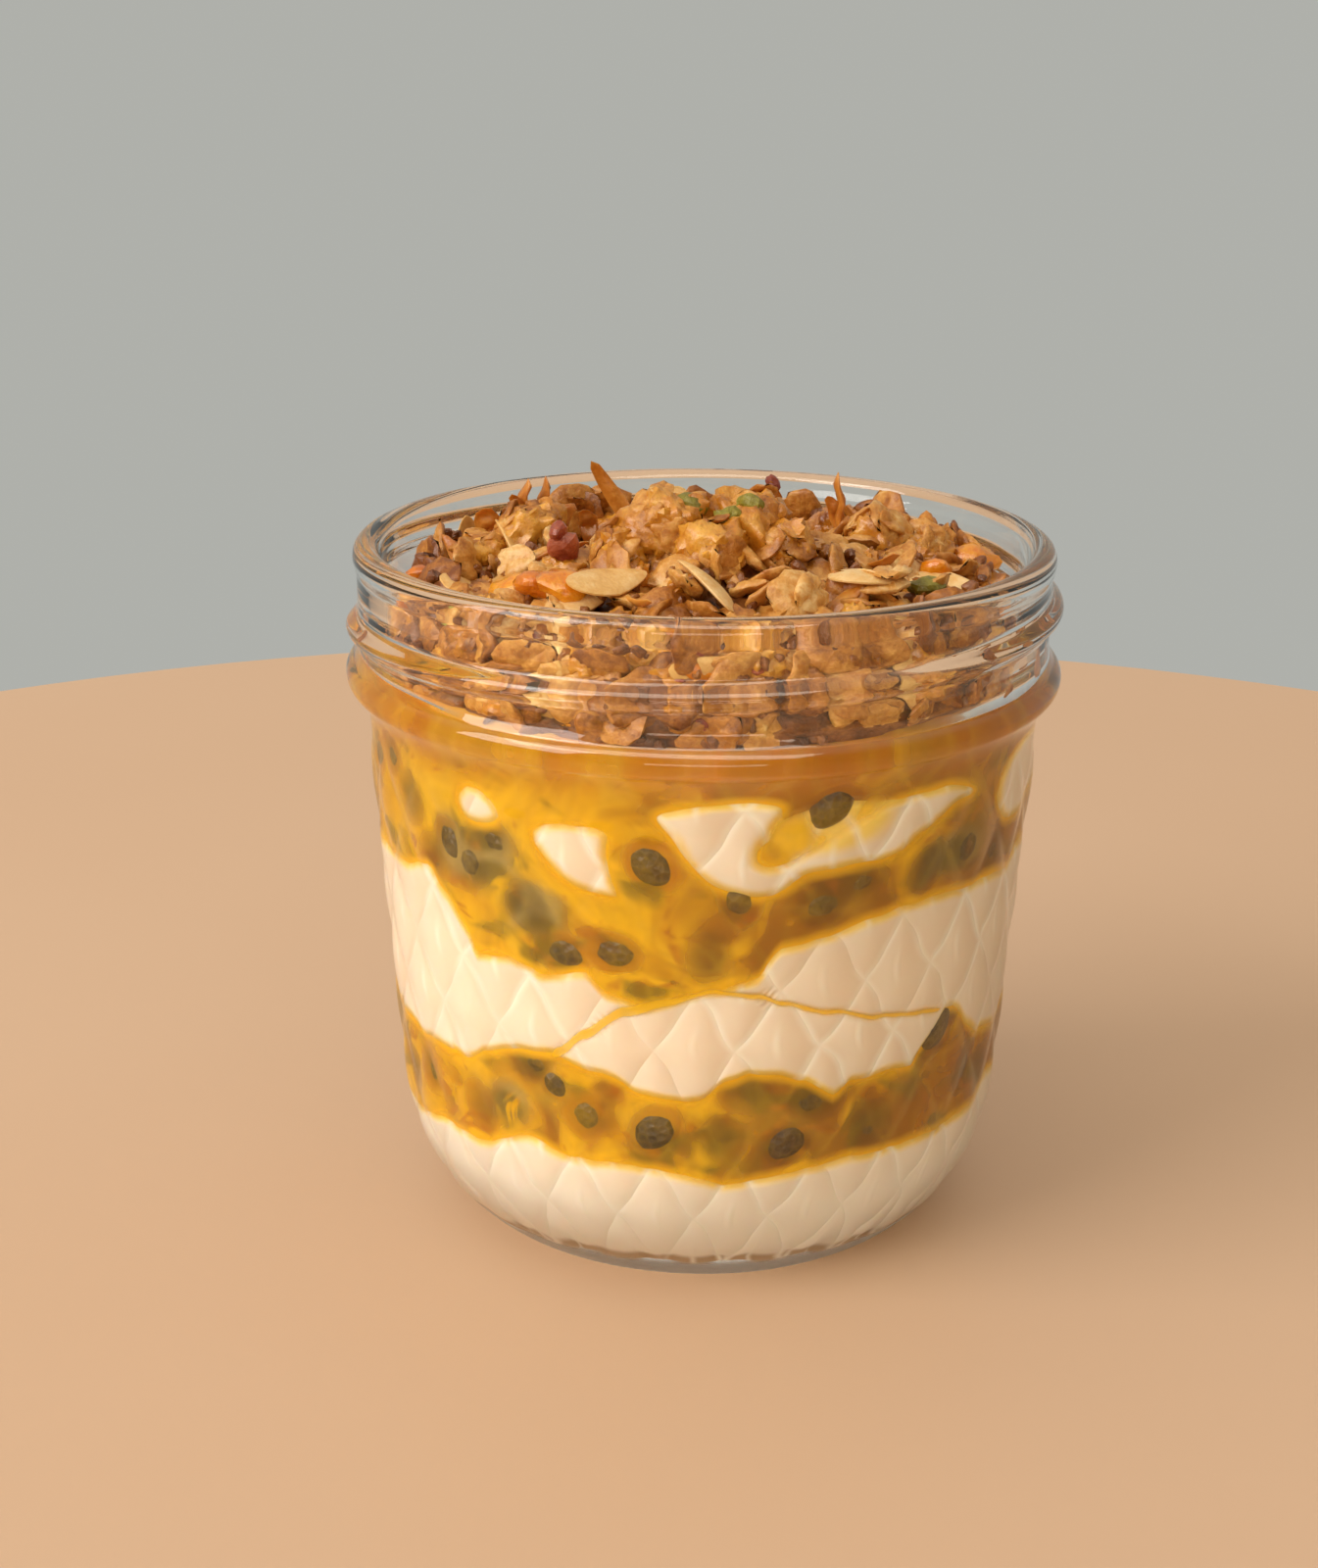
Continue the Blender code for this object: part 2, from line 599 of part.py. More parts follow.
def granola_pieces(loose):
    dice = random.Random(GRANOLA_SEED)
    for index, (x, y, height, size) in enumerate(TOP_CLUSTERS):
        nugget = cluster(dice)
        bmesh.ops.scale(nugget, vec=(size, size, size), verts=nugget.verts)
        add_piece(nugget, Vector((x, y, height)) * MM, random_turn(dice, 0.5), loose, f"top_cluster_{index}")
    for index, (x, y, height, length, lean, bearing) in enumerate(STANDING_STRIPS):
        upright = Euler((0, math.radians(90 - lean), 0))
        upright.rotate(Euler((0, 0, math.radians(90 - bearing))))
        middle = Vector((x, y, height + length / 2 - 2.5)) * MM
        add_piece(sliver(dice, length * MM), middle, upright, loose, f"standing_strip_{index}")
    scatter_over_top(cluster, CLUSTERS, 0.6, 0.2 * MM, dice, loose, "cluster")
    scatter_over_top(oat_flake, OAT_FLAKES * 2 // 3, 0.75, 1.0 * MM, dice, loose, "oat")
    scatter_round_side(oat_flake, OAT_FLAKES // 3, dice, loose, "side_oat")
    scatter_over_top(sliver, SLIVERS, 0.8, 1.3 * MM, dice, loose, "sliver")


def build_granola(collection, material):
    core = granola_core(collection, material)
    loose = make_collection("granola_pieces")
    granola_pieces(loose)
    apply_boolean(core, "UNION", tools=loose, solver="MANIFOLD")
    keep_main_body(core)
    bpy.data.collections.remove(loose)


def main():
    clear_scene()
    parfait = make_collection("yogurt_parfait")
    cutters = make_collection("cutters")
    glass = make_material("clear_glass", (1.0, 1.0, 1.0), 0.02, transmission=1.0)
    yogurt = make_material("plain_yogurt", YOGURT, 0.35)
    fruit = make_material("passion_fruit_pulp", PASSION_FRUIT, 0.25)
    baked = make_material("baked_granola", GRANOLA, 0.5)
    build_jar(parfait, cutters, glass)
    build_layers(parfait, cutters, yogurt, fruit)
    build_granola(parfait, baked)


main()
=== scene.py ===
import math
import random

import bpy
import numpy as np
from mathutils import Euler, Matrix, Vector, noise


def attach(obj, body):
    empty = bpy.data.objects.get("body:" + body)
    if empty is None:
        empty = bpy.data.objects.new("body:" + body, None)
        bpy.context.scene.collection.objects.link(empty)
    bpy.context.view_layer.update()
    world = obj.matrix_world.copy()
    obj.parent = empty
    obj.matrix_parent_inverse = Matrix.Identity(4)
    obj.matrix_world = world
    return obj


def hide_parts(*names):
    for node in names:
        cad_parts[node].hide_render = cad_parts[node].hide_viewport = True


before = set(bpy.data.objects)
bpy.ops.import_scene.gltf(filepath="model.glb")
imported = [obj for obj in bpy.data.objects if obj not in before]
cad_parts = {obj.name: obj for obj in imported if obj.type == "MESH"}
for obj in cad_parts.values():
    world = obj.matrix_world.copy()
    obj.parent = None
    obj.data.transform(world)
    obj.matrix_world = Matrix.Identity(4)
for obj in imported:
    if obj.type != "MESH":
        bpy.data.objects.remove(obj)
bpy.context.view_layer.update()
mm = 0.001


# shader maths: a Wire is a socket that can be added, multiplied and so on
def mathsWay(operation, turned=False):
    def work(self, *others):
        inputs = (*others, self) if turned else (self, *others)
        return self.recipe.node("Math", {"operation": operation}, dict(enumerate(inputs)))
    return work


class Wire:
    def __init__(self, recipe, socket):
        self.recipe, self.socket = recipe, socket

    def maths(self, operation):
        return self.recipe.node("Math", {"operation": operation}, {0: self})

    def ramp(self, low, high, interpolation="SMOOTHSTEP"):
        inputs = {"Value": self, "From Min": low, "From Max": high}
        return self.recipe.node("MapRange", {"interpolation_type": interpolation}, inputs)

    __add__ = __radd__ = mathsWay("ADD")
    __mul__ = __rmul__ = mathsWay("MULTIPLY")
    __sub__, __rsub__ = mathsWay("SUBTRACT"), mathsWay("SUBTRACT", True)
    __truediv__, __pow__ = mathsWay("DIVIDE"), mathsWay("POWER")
    angleOver, most, least = mathsWay("ARCTAN2"), mathsWay("MAXIMUM"), mathsWay("MINIMUM")


class Recipe:
    # the nodes of one material, or of the world
    def __init__(self, name, kind="materials"):
        self.material = getattr(bpy.data, kind).new(name)
        self.material.use_nodes = True
        self.tree = self.material.node_tree
        self.tree.nodes.clear()

    def node(self, kind, settings=None, inputs=None, output=0):
        made = self.tree.nodes.new("ShaderNode" + kind)
        for key, value in (settings or {}).items():
            if key == "stops":
                while len(made.color_ramp.elements) < len(value):
                    made.color_ramp.elements.new(0.5)
                for element, (place, colour) in zip(made.color_ramp.elements, value):
                    element.position, element.color = place, (*colour, 1)
            else:
                setattr(made, key, value)
        for key, value in (inputs or {}).items():
            if isinstance(value, Wire):
                self.tree.links.new(value.socket, made.inputs[key])
            else:
                made.inputs[key].default_value = value
        return Wire(self, made.outputs[output] if made.outputs else None)

    def place(self, kind="Object"):
        return self.node("TexCoord", output=kind)

    def axes(self, kind="Object"):
        node = self.node("SeparateXYZ", None, {0: self.place(kind)}).socket.node
        return [Wire(self, node.outputs[index]) for index in range(3)]

    def grain(self, scale, detail=3.0, warp=0.0, stretch=(1, 1, 1)):
        where = self.node("VectorMath", {"operation": "MULTIPLY"}, {0: self.place(), 1: stretch})
        inputs = {"Vector": where, "Scale": scale, "Detail": detail, "Roughness": 0.55, "Distortion": warp}
        return self.node("TexNoise", None, inputs)

    def cells(self, scale):
        return self.node("TexVoronoi", None, {"Vector": self.place(), "Scale": scale})

    def mark(self, name):
        return self.node("Attribute", {"attribute_name": name}, output="Fac")

    def blend(self, share, low, high):
        inputs = {0: share, 6: self.tint(low), 7: self.tint(high)}
        return self.node("Mix", {"data_type": "RGBA"}, inputs, 2)

    def tint(self, colour):
        return colour if isinstance(colour, Wire) else (*colour, 1)

    def finish(self, base, roughness, bump=None, bumpDepth=0.3, bumpStrength=0.5, alpha=None, **fixed):
        inputs = {"Base Color": self.tint(base), "Roughness": roughness}
        if bump is not None:
            height = {"Height": bump, "Distance": bumpDepth * mm, "Strength": bumpStrength}
            inputs["Normal"] = self.node("Bump", None, height)
        if alpha is not None:
            inputs["Alpha"] = alpha
        inputs.update({key.replace("_", " "): value for key, value in fixed.items()})
        surface = self.node("BsdfPrincipled", None, inputs)
        self.node("OutputMaterial", None, {"Surface": surface})
        return self.material


# modelling helpers
def deselectAll():
    if bpy.context.mode != "OBJECT":
        bpy.ops.object.mode_set(mode="OBJECT")
    bpy.ops.object.select_all(action="DESELECT")


def turnProfile(name, profile, steps):
    # one point is extruded along the section, then spun round the jar's axis
    deselectAll()
    bpy.ops.mesh.primitive_plane_add(size=mm)
    piece = bpy.context.object
    piece.name = piece.data.name = name
    bpy.ops.object.mode_set(mode="EDIT")
    bpy.ops.mesh.select_all(action="SELECT")
    bpy.ops.mesh.merge(type="CENTER")
    bpy.ops.transform.translate(value=(profile[0][0], 0, profile[0][1]))
    for (nearRadius, nearHeight), (farRadius, farHeight) in zip(profile, profile[1:]):
        move = (farRadius - nearRadius, 0, farHeight - nearHeight)
        bpy.ops.mesh.extrude_region_move(TRANSFORM_OT_translate={"value": move})
    bpy.ops.mesh.select_all(action="SELECT")
    bpy.ops.mesh.spin(steps=steps, angle=2 * math.pi, center=(0, 0, 0), axis=(0, 0, 1))
    bpy.ops.mesh.select_all(action="SELECT")
    bpy.ops.mesh.remove_doubles(threshold=0.000002)
    bpy.ops.mesh.normals_make_consistent(inside=False)
    bpy.ops.object.mode_set(mode="OBJECT")
    bpy.ops.object.shade_smooth()
    return piece


def pointsOf(piece):
    points = np.empty(len(piece.data.vertices) * 3)
    piece.data.vertices.foreach_get("co", points)
    return points.reshape(-1, 3)


def setPoints(piece, points):
    piece.data.vertices.foreach_set("co", np.asarray(points, float).ravel())
    piece.data.update()


def addMark(piece, name, values):
    mark = piece.data.attributes.new(name, "FLOAT", "POINT")
    mark.data.foreach_set("value", np.asarray(values, np.float32))


def dress(piece, material, slot, *nodes):
    piece.data.materials.clear()
    piece.data.materials.append(material)
    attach(piece, "root")
    if nodes:
        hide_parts(*nodes)
    print("made", piece.name, "with", len(piece.data.polygons), "faces")
    return piece


def atAzimuth(azimuth, radius, height):
    turn = math.radians(azimuth)
    return Vector((radius * math.sin(turn), -radius * math.cos(turn), height))


def azimuthsOf(points):
    return np.degrees(np.arctan2(points[:, 0], -points[:, 1]))


def turnedFrom(azimuth, middle):
    # degrees from the middle, between -180 and 180
    return (azimuth - middle + 180) % 360 - 180


def ringPoints(azimuth, radius, height):
    turn = np.radians(azimuth)
    return np.stack([radius * np.sin(turn), -radius * np.cos(turn), height], axis=1)


def eased(share):
    share = np.clip(share, 0, 1)
    return share * share * (3 - 2 * share)


def between(low, high, share):
    return low + (high - low) * share


def ringHeight(stops, azimuth):
    # softly eased heights between the stops, going round the jar
    keys = sorted(stops)
    spread = np.array([keys[-1] - 360, *keys, keys[0] + 360], float)
    heights = np.array([stops[keys[-1]], *(stops[key] for key in keys), stops[keys[0]]], float)
    azimuth = (np.asarray(azimuth, float) - keys[0]) % 360 + keys[0]
    index = np.clip(np.searchsorted(spread, azimuth, side="right") - 1, 0, len(spread) - 2)
    share = (azimuth - spread[index]) / (spread[index + 1] - spread[index])
    soft = share * 0.45 + eased(share) * 0.55
    return (heights[index] + (heights[index + 1] - heights[index]) * soft) * mm


def ripple(azimuth, seed):
    # small unevenness of an edge, between about -1 and 1, that meets itself behind
    turn = np.radians(np.asarray(azimuth, float))
    return np.sin(turn * 23 + seed) * 0.5 + np.sin(turn * 41 + 2.1 * seed) * 0.3 + np.sin(turn * 77 + 1.3 * seed) * 0.2


# the jar's sizes
jarSize = {
    "height": 82.6 * mm, "lipRadius": 41.0 * mm, "neckRadius": 40.6 * mm, "beadRadius": 42.2 * mm,
    "beadHeight": 67.2 * mm, "shoulderHeight": 62.0 * mm, "shoulderRadius": 39.6 * mm,
    "heelHeight": 17.0 * mm, "heelRadius": 36.2 * mm, "footRadius": 26.0 * mm, "ringWidth": 2.4 * mm,
    "pushUp": 1.4 * mm, "heelPower": 1.6, "mouthRadius": 38.0 * mm, "innerShoulderRadius": 37.1 * mm,
    "innerHeelRadius": 33.7 * mm, "innerFloorRadius": 23.5 * mm, "innerFloorHeight": 5.0 * mm, "steps": 432,
}
threadSize = {
    "pitch": 6.1 * mm, "frontHeight": 74.3 * mm, "halfWidth": 1.7 * mm, "height": 1.45 * mm,
    "start": -105.0, "end": 275.0, "fade": 22.0,
}
quiltSize = {
    "columns": 24, "startAzimuth": -1.5, "crossingHeight": 39.7 * mm, "diamondHeight": 14.3 * mm,
    "relief": 0.45 * mm, "top": 60.5 * mm, "bottom": 5.0 * mm,
}


def heelCurve(height, floor, top, floorRadius, topRadius):
    left = np.clip(1 - (np.asarray(height) - floor) / (top - floor), 0, 1)
    power = jarSize["heelPower"]
    return floorRadius + (topRadius - floorRadius) * (1 - left ** power) ** (1 / power)


def outerRadius(height):
    jar = jarSize
    height = np.asarray(height, float)
    heel = heelCurve(height, 0, jar["heelHeight"], jar["footRadius"], jar["heelRadius"])
    share = (height - jar["heelHeight"]) / (jar["shoulderHeight"] - jar["heelHeight"])
    return np.where(height < jar["heelHeight"], heel, between(jar["heelRadius"], jar["shoulderRadius"], share))


def innerRadius(height):
    jar = jarSize
    height = np.asarray(height, float)
    heel = heelCurve(height, jar["innerFloorHeight"], jar["heelHeight"], jar["innerFloorRadius"],
                     jar["innerHeelRadius"])
    corners = (jar["heelHeight"], jar["shoulderHeight"], jar["height"])
    wall = np.interp(height, corners, (jar["innerHeelRadius"], jar["innerShoulderRadius"], jar["mouthRadius"]))
    return np.where(height < jar["heelHeight"], heel, wall)


def arc(centreRadius, centreHeight, radius, first, last, count):
    turns = np.radians(np.linspace(first, last, count))
    return [(centreRadius + radius * math.cos(turn), centreHeight + radius * math.sin(turn)) for turn in turns]


def stepped(radius, height, *offsets):
    # points at these offsets in millimetres, outwards and up
    return [(radius + across * mm, height + up * mm) for across, up in offsets]


def jarSection():
    # floor inside, up the inner wall, over the lip, down the outside and under the foot
    jar = jarSize
    top, bead, heel, floor = (jar[name] for name in ("height", "beadHeight", "heelHeight", "innerFloorHeight"))
    lip, neck, shoulder, foot = (jar[name + "Radius"] for name in ("lip", "neck", "shoulder", "foot"))
    within = jar["innerFloorRadius"]
    section = [(0, floor + 0.6 * mm), (0.35 * within, floor + 0.5 * mm), (0.7 * within, floor + 0.25 * mm)]
    inner = [floor + (heel - floor) * (1 - math.cos(turn)) for turn in np.radians(np.linspace(0, 90, 12))]
    section += [(float(innerRadius(height)), height) for height in (*inner, *np.linspace(22, 78, 12) * mm)]
    section += arc(jar["mouthRadius"] + 1.3 * mm, top - 1.3 * mm, 1.3 * mm, 180, 90, 7)
    section += arc(lip - 1.5 * mm, top - 1.5 * mm, 1.5 * mm, 84, 0, 8)
    section += stepped(lip, top, (0, -2.0), (-0.1, -2.6)) + stepped(neck, top, (0.1, -3.0), (0, -3.4))
    section += [(neck, height) for height in np.arange(top - 3.75 * mm, bead + 3.2 * mm, -0.35 * mm)]
    section += stepped(neck, bead, (0.15, 2.5), (0.5, 2.1))
    section += arc(jar["beadRadius"] - 2.0 * mm, bead, 2.0 * mm, 62, -48, 12)
    section += stepped(shoulder, bead, (0.9, -2.6), (0.4, -3.5), (0.1, -4.4))
    heights = np.arange(jar["shoulderHeight"], heel + 0.3 * mm, -0.55 * mm)
    section += [(float(outerRadius(height)), height) for height in heights]
    power = 2 / jar["heelPower"]
    for turn in np.radians(np.linspace(0, 90, 26)):
        radius = between(foot, jar["heelRadius"], max(0, math.cos(turn)) ** power)
        section.append((radius, heel * (1 - math.sin(turn) ** power)))
    ring = foot - jar["ringWidth"]
    section += stepped(ring, 0, (0, 0), (-0.8, 0.3), (-2.4, 1.0))
    return section + [(ring * 0.6, jar["pushUp"]), (0, jar["pushUp"])]


def quiltHeight(azimuth, height):
    # 0 along the creases between diamonds, swelling to 1 at the middle of each
    quilt = quiltSize
    column = (azimuth - quilt["startAzimuth"]) * quilt["columns"] / 360
    row = (height - quilt["crossingHeight"]) / quilt["diamondHeight"]
    rising, falling = (column + row) % 1 - 0.5, (column - row) % 1 - 0.5
    return (np.cos(rising * math.pi) * np.cos(falling * math.pi)) ** 0.8


def threadHeight(azimuth, height):
    thread = threadSize
    tallest = np.zeros(len(height))
    for turns in (0, 360):
        turned = azimuth + turns
        centre = thread["frontHeight"] + thread["pitch"] * turned / 360
        ridge = np.cos(np.clip(np.abs(height - centre) / thread["halfWidth"], 0, 1) * math.pi / 2) ** 1.1
        ends = eased((turned - thread["start"]) / thread["fade"]) * eased((thread["end"] - turned) / thread["fade"])
        tallest = np.maximum(tallest, ridge * ends)
    return tallest


def makeJar():
    jar, quilt = jarSize, quiltSize
    piece = turnProfile("glassJar", jarSection(), jar["steps"])
    points = pointsOf(piece)
    azimuth, height, radius = azimuthsOf(points), points[:, 2], np.hypot(points[:, 0], points[:, 1])
    outside = radius > (innerRadius(height) + outerRadius(height)) / 2
    body = outside & (height < quilt["top"] + 1 * mm) & (height > 0.5 * mm)
    fade = eased((quilt["top"] - height) / (3 * mm)) * eased((height - quilt["bottom"] * 0.3) / (6 * mm))
    radius = np.where(body, radius + quilt["relief"] * quiltHeight(azimuth, height) * fade, radius)
    neck = (radius > 39.5 * mm) & (height > 70 * mm) & (height < 81 * mm)
    ridge = jar["neckRadius"] + threadSize["height"] * threadHeight(azimuth, height)
    radius = np.where(neck, np.maximum(radius, ridge), radius)
    # hand-made unevenness of pressed glass
    turn = np.radians(azimuth)
    wobble = np.sin(turn * 5 + height * 90) * 0.03 + np.sin(turn * 9 - height * 210) * 0.02
    radius = np.where(outside, radius + wobble * mm, radius)
    setPoints(piece, ringPoints(azimuth, radius, height))
    return piece


glassLook = {
    "colour": (0.99, 1.0, 0.985), "roughness": 0.01, "stipple": 0.35, "ior": 1.5, "shadow": (0.93, 0.94, 0.92),
}


def glassMaterial():
    # clear pressed glass, stippled at its foot, whose shadow stays light
    look = glassLook
    recipe = Recipe("pressedGlass")
    roughness = look["roughness"] + (1 - recipe.axes()[2].ramp(0.0032, 0.0050)) * look["stipple"]
    glass = recipe.node("BsdfPrincipled", None, {
        "Base Color": (*look["colour"], 1), "Roughness": roughness, "IOR": look["ior"],
        "Transmission Weight": 1.0,
    })
    clear = recipe.node("BsdfTransparent", None, {"Color": (*look["shadow"], 1)})
    shadowRay = recipe.node("LightPath", output="Is Shadow Ray")
    surface = recipe.node("MixShader", None, {0: shadowRay, 1: glass, 2: clear})
    recipe.node("OutputMaterial", None, {"Surface": surface})
    return recipe.material


dress(makeJar(), glassMaterial(), "glass", "jar")

# heights of the layers' edges on the glass, in millimetres, by azimuth in degrees from the front
layerEdges = {
    "bottomYogurtTop": {
        -160: 18.5, -130: 16.5, -100: 17.5, -74: 14.4, -58: 16.3, -47: 16.2, -34: 19.0, -26: 17.8, -11: 17.8, -3: 17.0,
        4: 15.8, 10: 16.2, 19: 17.0, 27: 17.4, 45: 17.1, 63: 17.2, 72: 19.1, 100: 16.8, 135: 18.6,
    },
    "lowerPulpTop": {
        -165: 29.5, -135: 26.5, -105: 29.0, -80: 27.0, -63: 26.2, -49: 26.5, -44: 27.9, -35: 30.3, -28: 30.6, -24: 29.4,
        -18: 29.4, -11: 26.9, -6: 26.4, -1: 26.7, 4: 28.7, 8: 29.7, 14: 29.6, 18: 28.3, 24: 26.0, 28: 27.5, 41: 27.1,
        45: 29.9, 49: 32.9, 52: 32.6, 58: 29.5, 63: 27.2, 74: 25.7, 105: 28.6, 140: 31.0,
    },
    "middleYogurtTop": {
        -160: 44.0, -125: 48.0, -100: 46.0, -78: 47.3, -64: 47.6, -56: 49.4, -50: 46.4, -45: 42.6, -43: 40.6, -36: 41.2,
        -29: 40.2, -21: 41.2, -17: 38.8, -10: 38.2, 2: 40.2, 9: 41.5, 13: 44.9, 20: 45.7, 28: 46.8, 36: 47.9, 45: 47.7,
        59: 47.4, 67: 46.8, 75: 48.4, 95: 48.5, 120: 44.5, 150: 41.5,
    },
    "pulpTop": {-150: 67.0, -95: 69.2, -60: 68.2, -30: 66.8, 0: 66.2, 45: 66.9, 90: 67.2, 140: 68.0},
    "middleSeam": {-30: 29.8, -27: 30.8, -21: 33.7, -14: 37.3, -6: 38.8, 2: 40.2, 9: 39.3, 14: 38.2, 22: 36.8, 31: 34.9,
                   36: 34.6, 42: 33.6, 49: 33.2},
}
# where the top yogurt reaches the glass: outlines of azimuth and height in millimetres
topYogurtOutlines = [
    [(-45.5, 58.6), (-43.6, 56.8), (-39.4, 56.8), (-36.3, 58.2), (-39.0, 60.2), (-43.0, 60.6)],
    [(-29.8, 57.2), (-27.7, 54.6), (-23.6, 52.1), (-19.6, 51.1), (-15.2, 50.8), (-15.7, 53.0), (-16.8, 55.5),
     (-16.6, 58.0), (-20.0, 58.5), (-25.5, 58.3)],
    [(-8.2, 60.4), (-5.0, 57.6), (-2.0, 54.6), (1.0, 52.8), (4.8, 51.8), (8.6, 51.3), (13.1, 51.9), (16.9, 53.5),
     (24.2, 54.0), (33.0, 54.2), (38.5, 56.1), (45.7, 58.3), (51.0, 59.2), (46.0, 60.6), (40.8, 60.9), (32.1, 60.5),
     (23.7, 58.3), (16.0, 55.8), (11.0, 54.6), (8.2, 55.3), (8.6, 57.1), (11.1, 59.6), (12.0, 61.3), (9.0, 62.0),
     (4.4, 62.2), (-2.1, 61.6)],
    [(59.5, 57.8), (62.5, 54.4), (66.5, 53.4), (74.0, 53.8), (83.0, 54.6), (87.0, 58.0), (80.0, 61.4), (71.0, 62.4),
     (64.0, 61.0)],
    [(104.0, 57.5), (112.0, 55.4), (121.0, 54.3), (131.0, 53.1), (141.0, 52.6), (150.0, 54.6), (156.0, 57.4),
     (148.0, 59.6), (138.0, 60.9), (126.0, 61.0), (113.0, 59.8)],
    [(183.0, 57.0), (190.0, 54.7), (200.0, 53.5), (211.0, 53.6), (222.0, 55.0), (235.0, 58.0), (227.0, 59.8),
     (215.0, 61.0), (203.0, 60.8), (191.0, 59.4)],
]
degreeLength = 0.64


def smoothLoop(corners, cuts=5):
    # a soft closed curve through the corners of an outline
    loop = np.array(corners, float)
    before, after, beyond = (np.roll(loop, step, 0)[:, None] for step in (1, -1, -2))
    here, share = loop[:, None], np.linspace(0, 1, cuts, endpoint=False)[None, :, None]
    curve = 2 * here + (after - before) * share + (2 * before - 5 * here + 4 * after - beyond) * share ** 2
    return ((curve + (3 * here - before - 3 * after + beyond) * share ** 3) / 2).reshape(-1, 2)


topYogurtLoops = [smoothLoop(corners) for corners in topYogurtOutlines]


def loopDepth(loop, azimuth, height):
    # how far a point of the wall lies inside a loop, in metres; negative outside
    middle = loop[:, 0].mean()
    turned = turnedFrom(azimuth, middle) * degreeLength
    spots = np.stack([turned, height / mm], axis=-1)
    start = np.stack([(loop[:, 0] - middle) * degreeLength, loop[:, 1]], axis=-1)
    step = np.roll(start, -1, 0) - start
    depth = np.full(len(turned), -6.0)
    near = (np.abs(turned) < np.abs(start[:, 0]).max() + 6) & (np.abs(spots[:, 1] - 57) < 12)
    if near.any():
        reach = spots[near][:, None] - start
        share = np.clip((reach * step).sum(-1) / (step ** 2).sum(-1), 0, 1)
        off = reach - share[..., None] * step
        gap = np.hypot(off[..., 0], off[..., 1]).min(1)
        passed = (reach[..., 1] < 0) != (reach[..., 1] < step[:, 1])
        crossing = start[:, 0] + reach[..., 1] / np.where(step[:, 1] == 0, 1, step[:, 1]) * step[:, 0]
        within = (passed & (crossing > spots[near][:, :1])).sum(1) % 2 == 1
        depth[near] = np.clip(np.where(within, gap, -gap), -6, 6)
    return depth * mm


def topYogurtDepth(azimuth, height):
    deepest = np.max([loopDepth(loop, azimuth, height) for loop in topYogurtLoops], axis=0)
    return deepest + 0.1 * mm * ripple(azimuth + height * 3000, 4.0)


def edgeHeight(name, azimuth, uneven=0.22):
    return ringHeight(layerEdges[name], azimuth) + uneven * mm * ripple(azimuth, len(name))


def pulpDepth(azimuth, height, openTop=False):
    # how far a point of the wall lies inside the fruit, in metres; negative in the yogurt
    lower = np.minimum(height - edgeHeight("bottomYogurtTop", azimuth), edgeHeight("lowerPulpTop", azimuth) - height)
    lid = 90 * mm if openTop else edgeHeight("pulpTop", azimuth)
    upper = np.minimum(height - edgeHeight("middleYogurtTop", azimuth), lid - height)
    return np.maximum(lower, np.minimum(upper, -topYogurtDepth(azimuth, height)))


def seamOffset(azimuth, height):
    # height over the thin line of fruit between the lobes of the middle yogurt, far off where there is none
    ends = eased((azimuth + 31) / 4) * eased((52 - azimuth) / 6)
    return np.abs(height - edgeHeight("middleSeam", azimuth, 0.15)) + (1 - ends) * 3 * mm


def layerRings(levels):
    inner = (0.0, 0.5, 0.85)
    rings = [(share * mm, 0.0) for share in inner]
    rings += [(1 * mm, level * mm) for level in np.linspace(0, 1, levels)]
    return rings + [(share * mm, 1 * mm) for share in reversed(inner)]


def makeLayer(name, levels, bottom, top, sideRadius):
    # a drum of food whose side lies just inside the wall of the glass
    piece = turnProfile(name, layerRings(levels), 360)
    points = pointsOf(piece)
    share, level, azimuth = np.hypot(points[:, 0], points[:, 1]) / mm, points[:, 2] / mm, azimuthsOf(points)
    height = between(bottom(azimuth, share), top(azimuth, share), level)
    radius = share * sideRadius(azimuth, height)
    setPoints(piece, ringPoints(azimuth, radius, height))
    return piece


wallReach = {"pulp": 0.05 * mm, "yogurt": 0.5 * mm, "film": 0.6 * mm, "dive": 1.6 * mm, "thinned": 1.1 * mm}


def thinness(azimuth, height):
    # 1 in the yellow tongue, where only a film of juice lies over the yogurt
    across, up = (azimuth - 21) / 13, (height - 58.6 * mm) / (3.6 * mm)
    return 1 - eased((np.hypot(across - up * 0.25, up) - 0.55) / 0.5)


def pulpSide(azimuth, height):
    return innerRadius(height) + wallReach["pulp"] - wallReach["thinned"] * thinness(azimuth, height)


def yogurtSide(azimuth, height):
    # the yogurt stands a little proud of the fruit, and dives under it at its edge
    depth = np.minimum(-pulpDepth(azimuth, height), seamOffset(azimuth, height) * 2.0 - 0.25 * mm)
    deepest = -wallReach["dive"] + (wallReach["dive"] - 0.3 * mm) * thinness(azimuth, height)
    rise = np.clip(depth * 0.7, deepest, wallReach["yogurt"] - wallReach["pulp"])
    return innerRadius(height) + wallReach["pulp"] + rise


def flat(height):
    return lambda azimuth, share: np.full(len(azimuth), height)


def evened(name, centre, lift):
    def heightAt(azimuth, share):
        return between(centre, ringHeight(layerEdges[name], azimuth), eased(share)) + lift
    return heightAt


def makeYogurts():
    floor = jarSize["innerFloorHeight"] - 0.6 * mm
    over = 1.4 * mm
    top = evened("bottomYogurtTop", 17 * mm, over)
    yield makeLayer("bottomYogurt", 34, flat(floor), top, yogurtSide), "yogurt_bottom"
    bottom, top = evened("lowerPulpTop", 28 * mm, -over), evened("middleYogurtTop", 43 * mm, over)
    yield makeLayer("middleYogurt", 64, bottom, top, yogurtSide), "yogurt_middle"
    yield makeLayer("topYogurt", 44, flat(50 * mm), flat(63.5 * mm), yogurtSide), "yogurt_top"


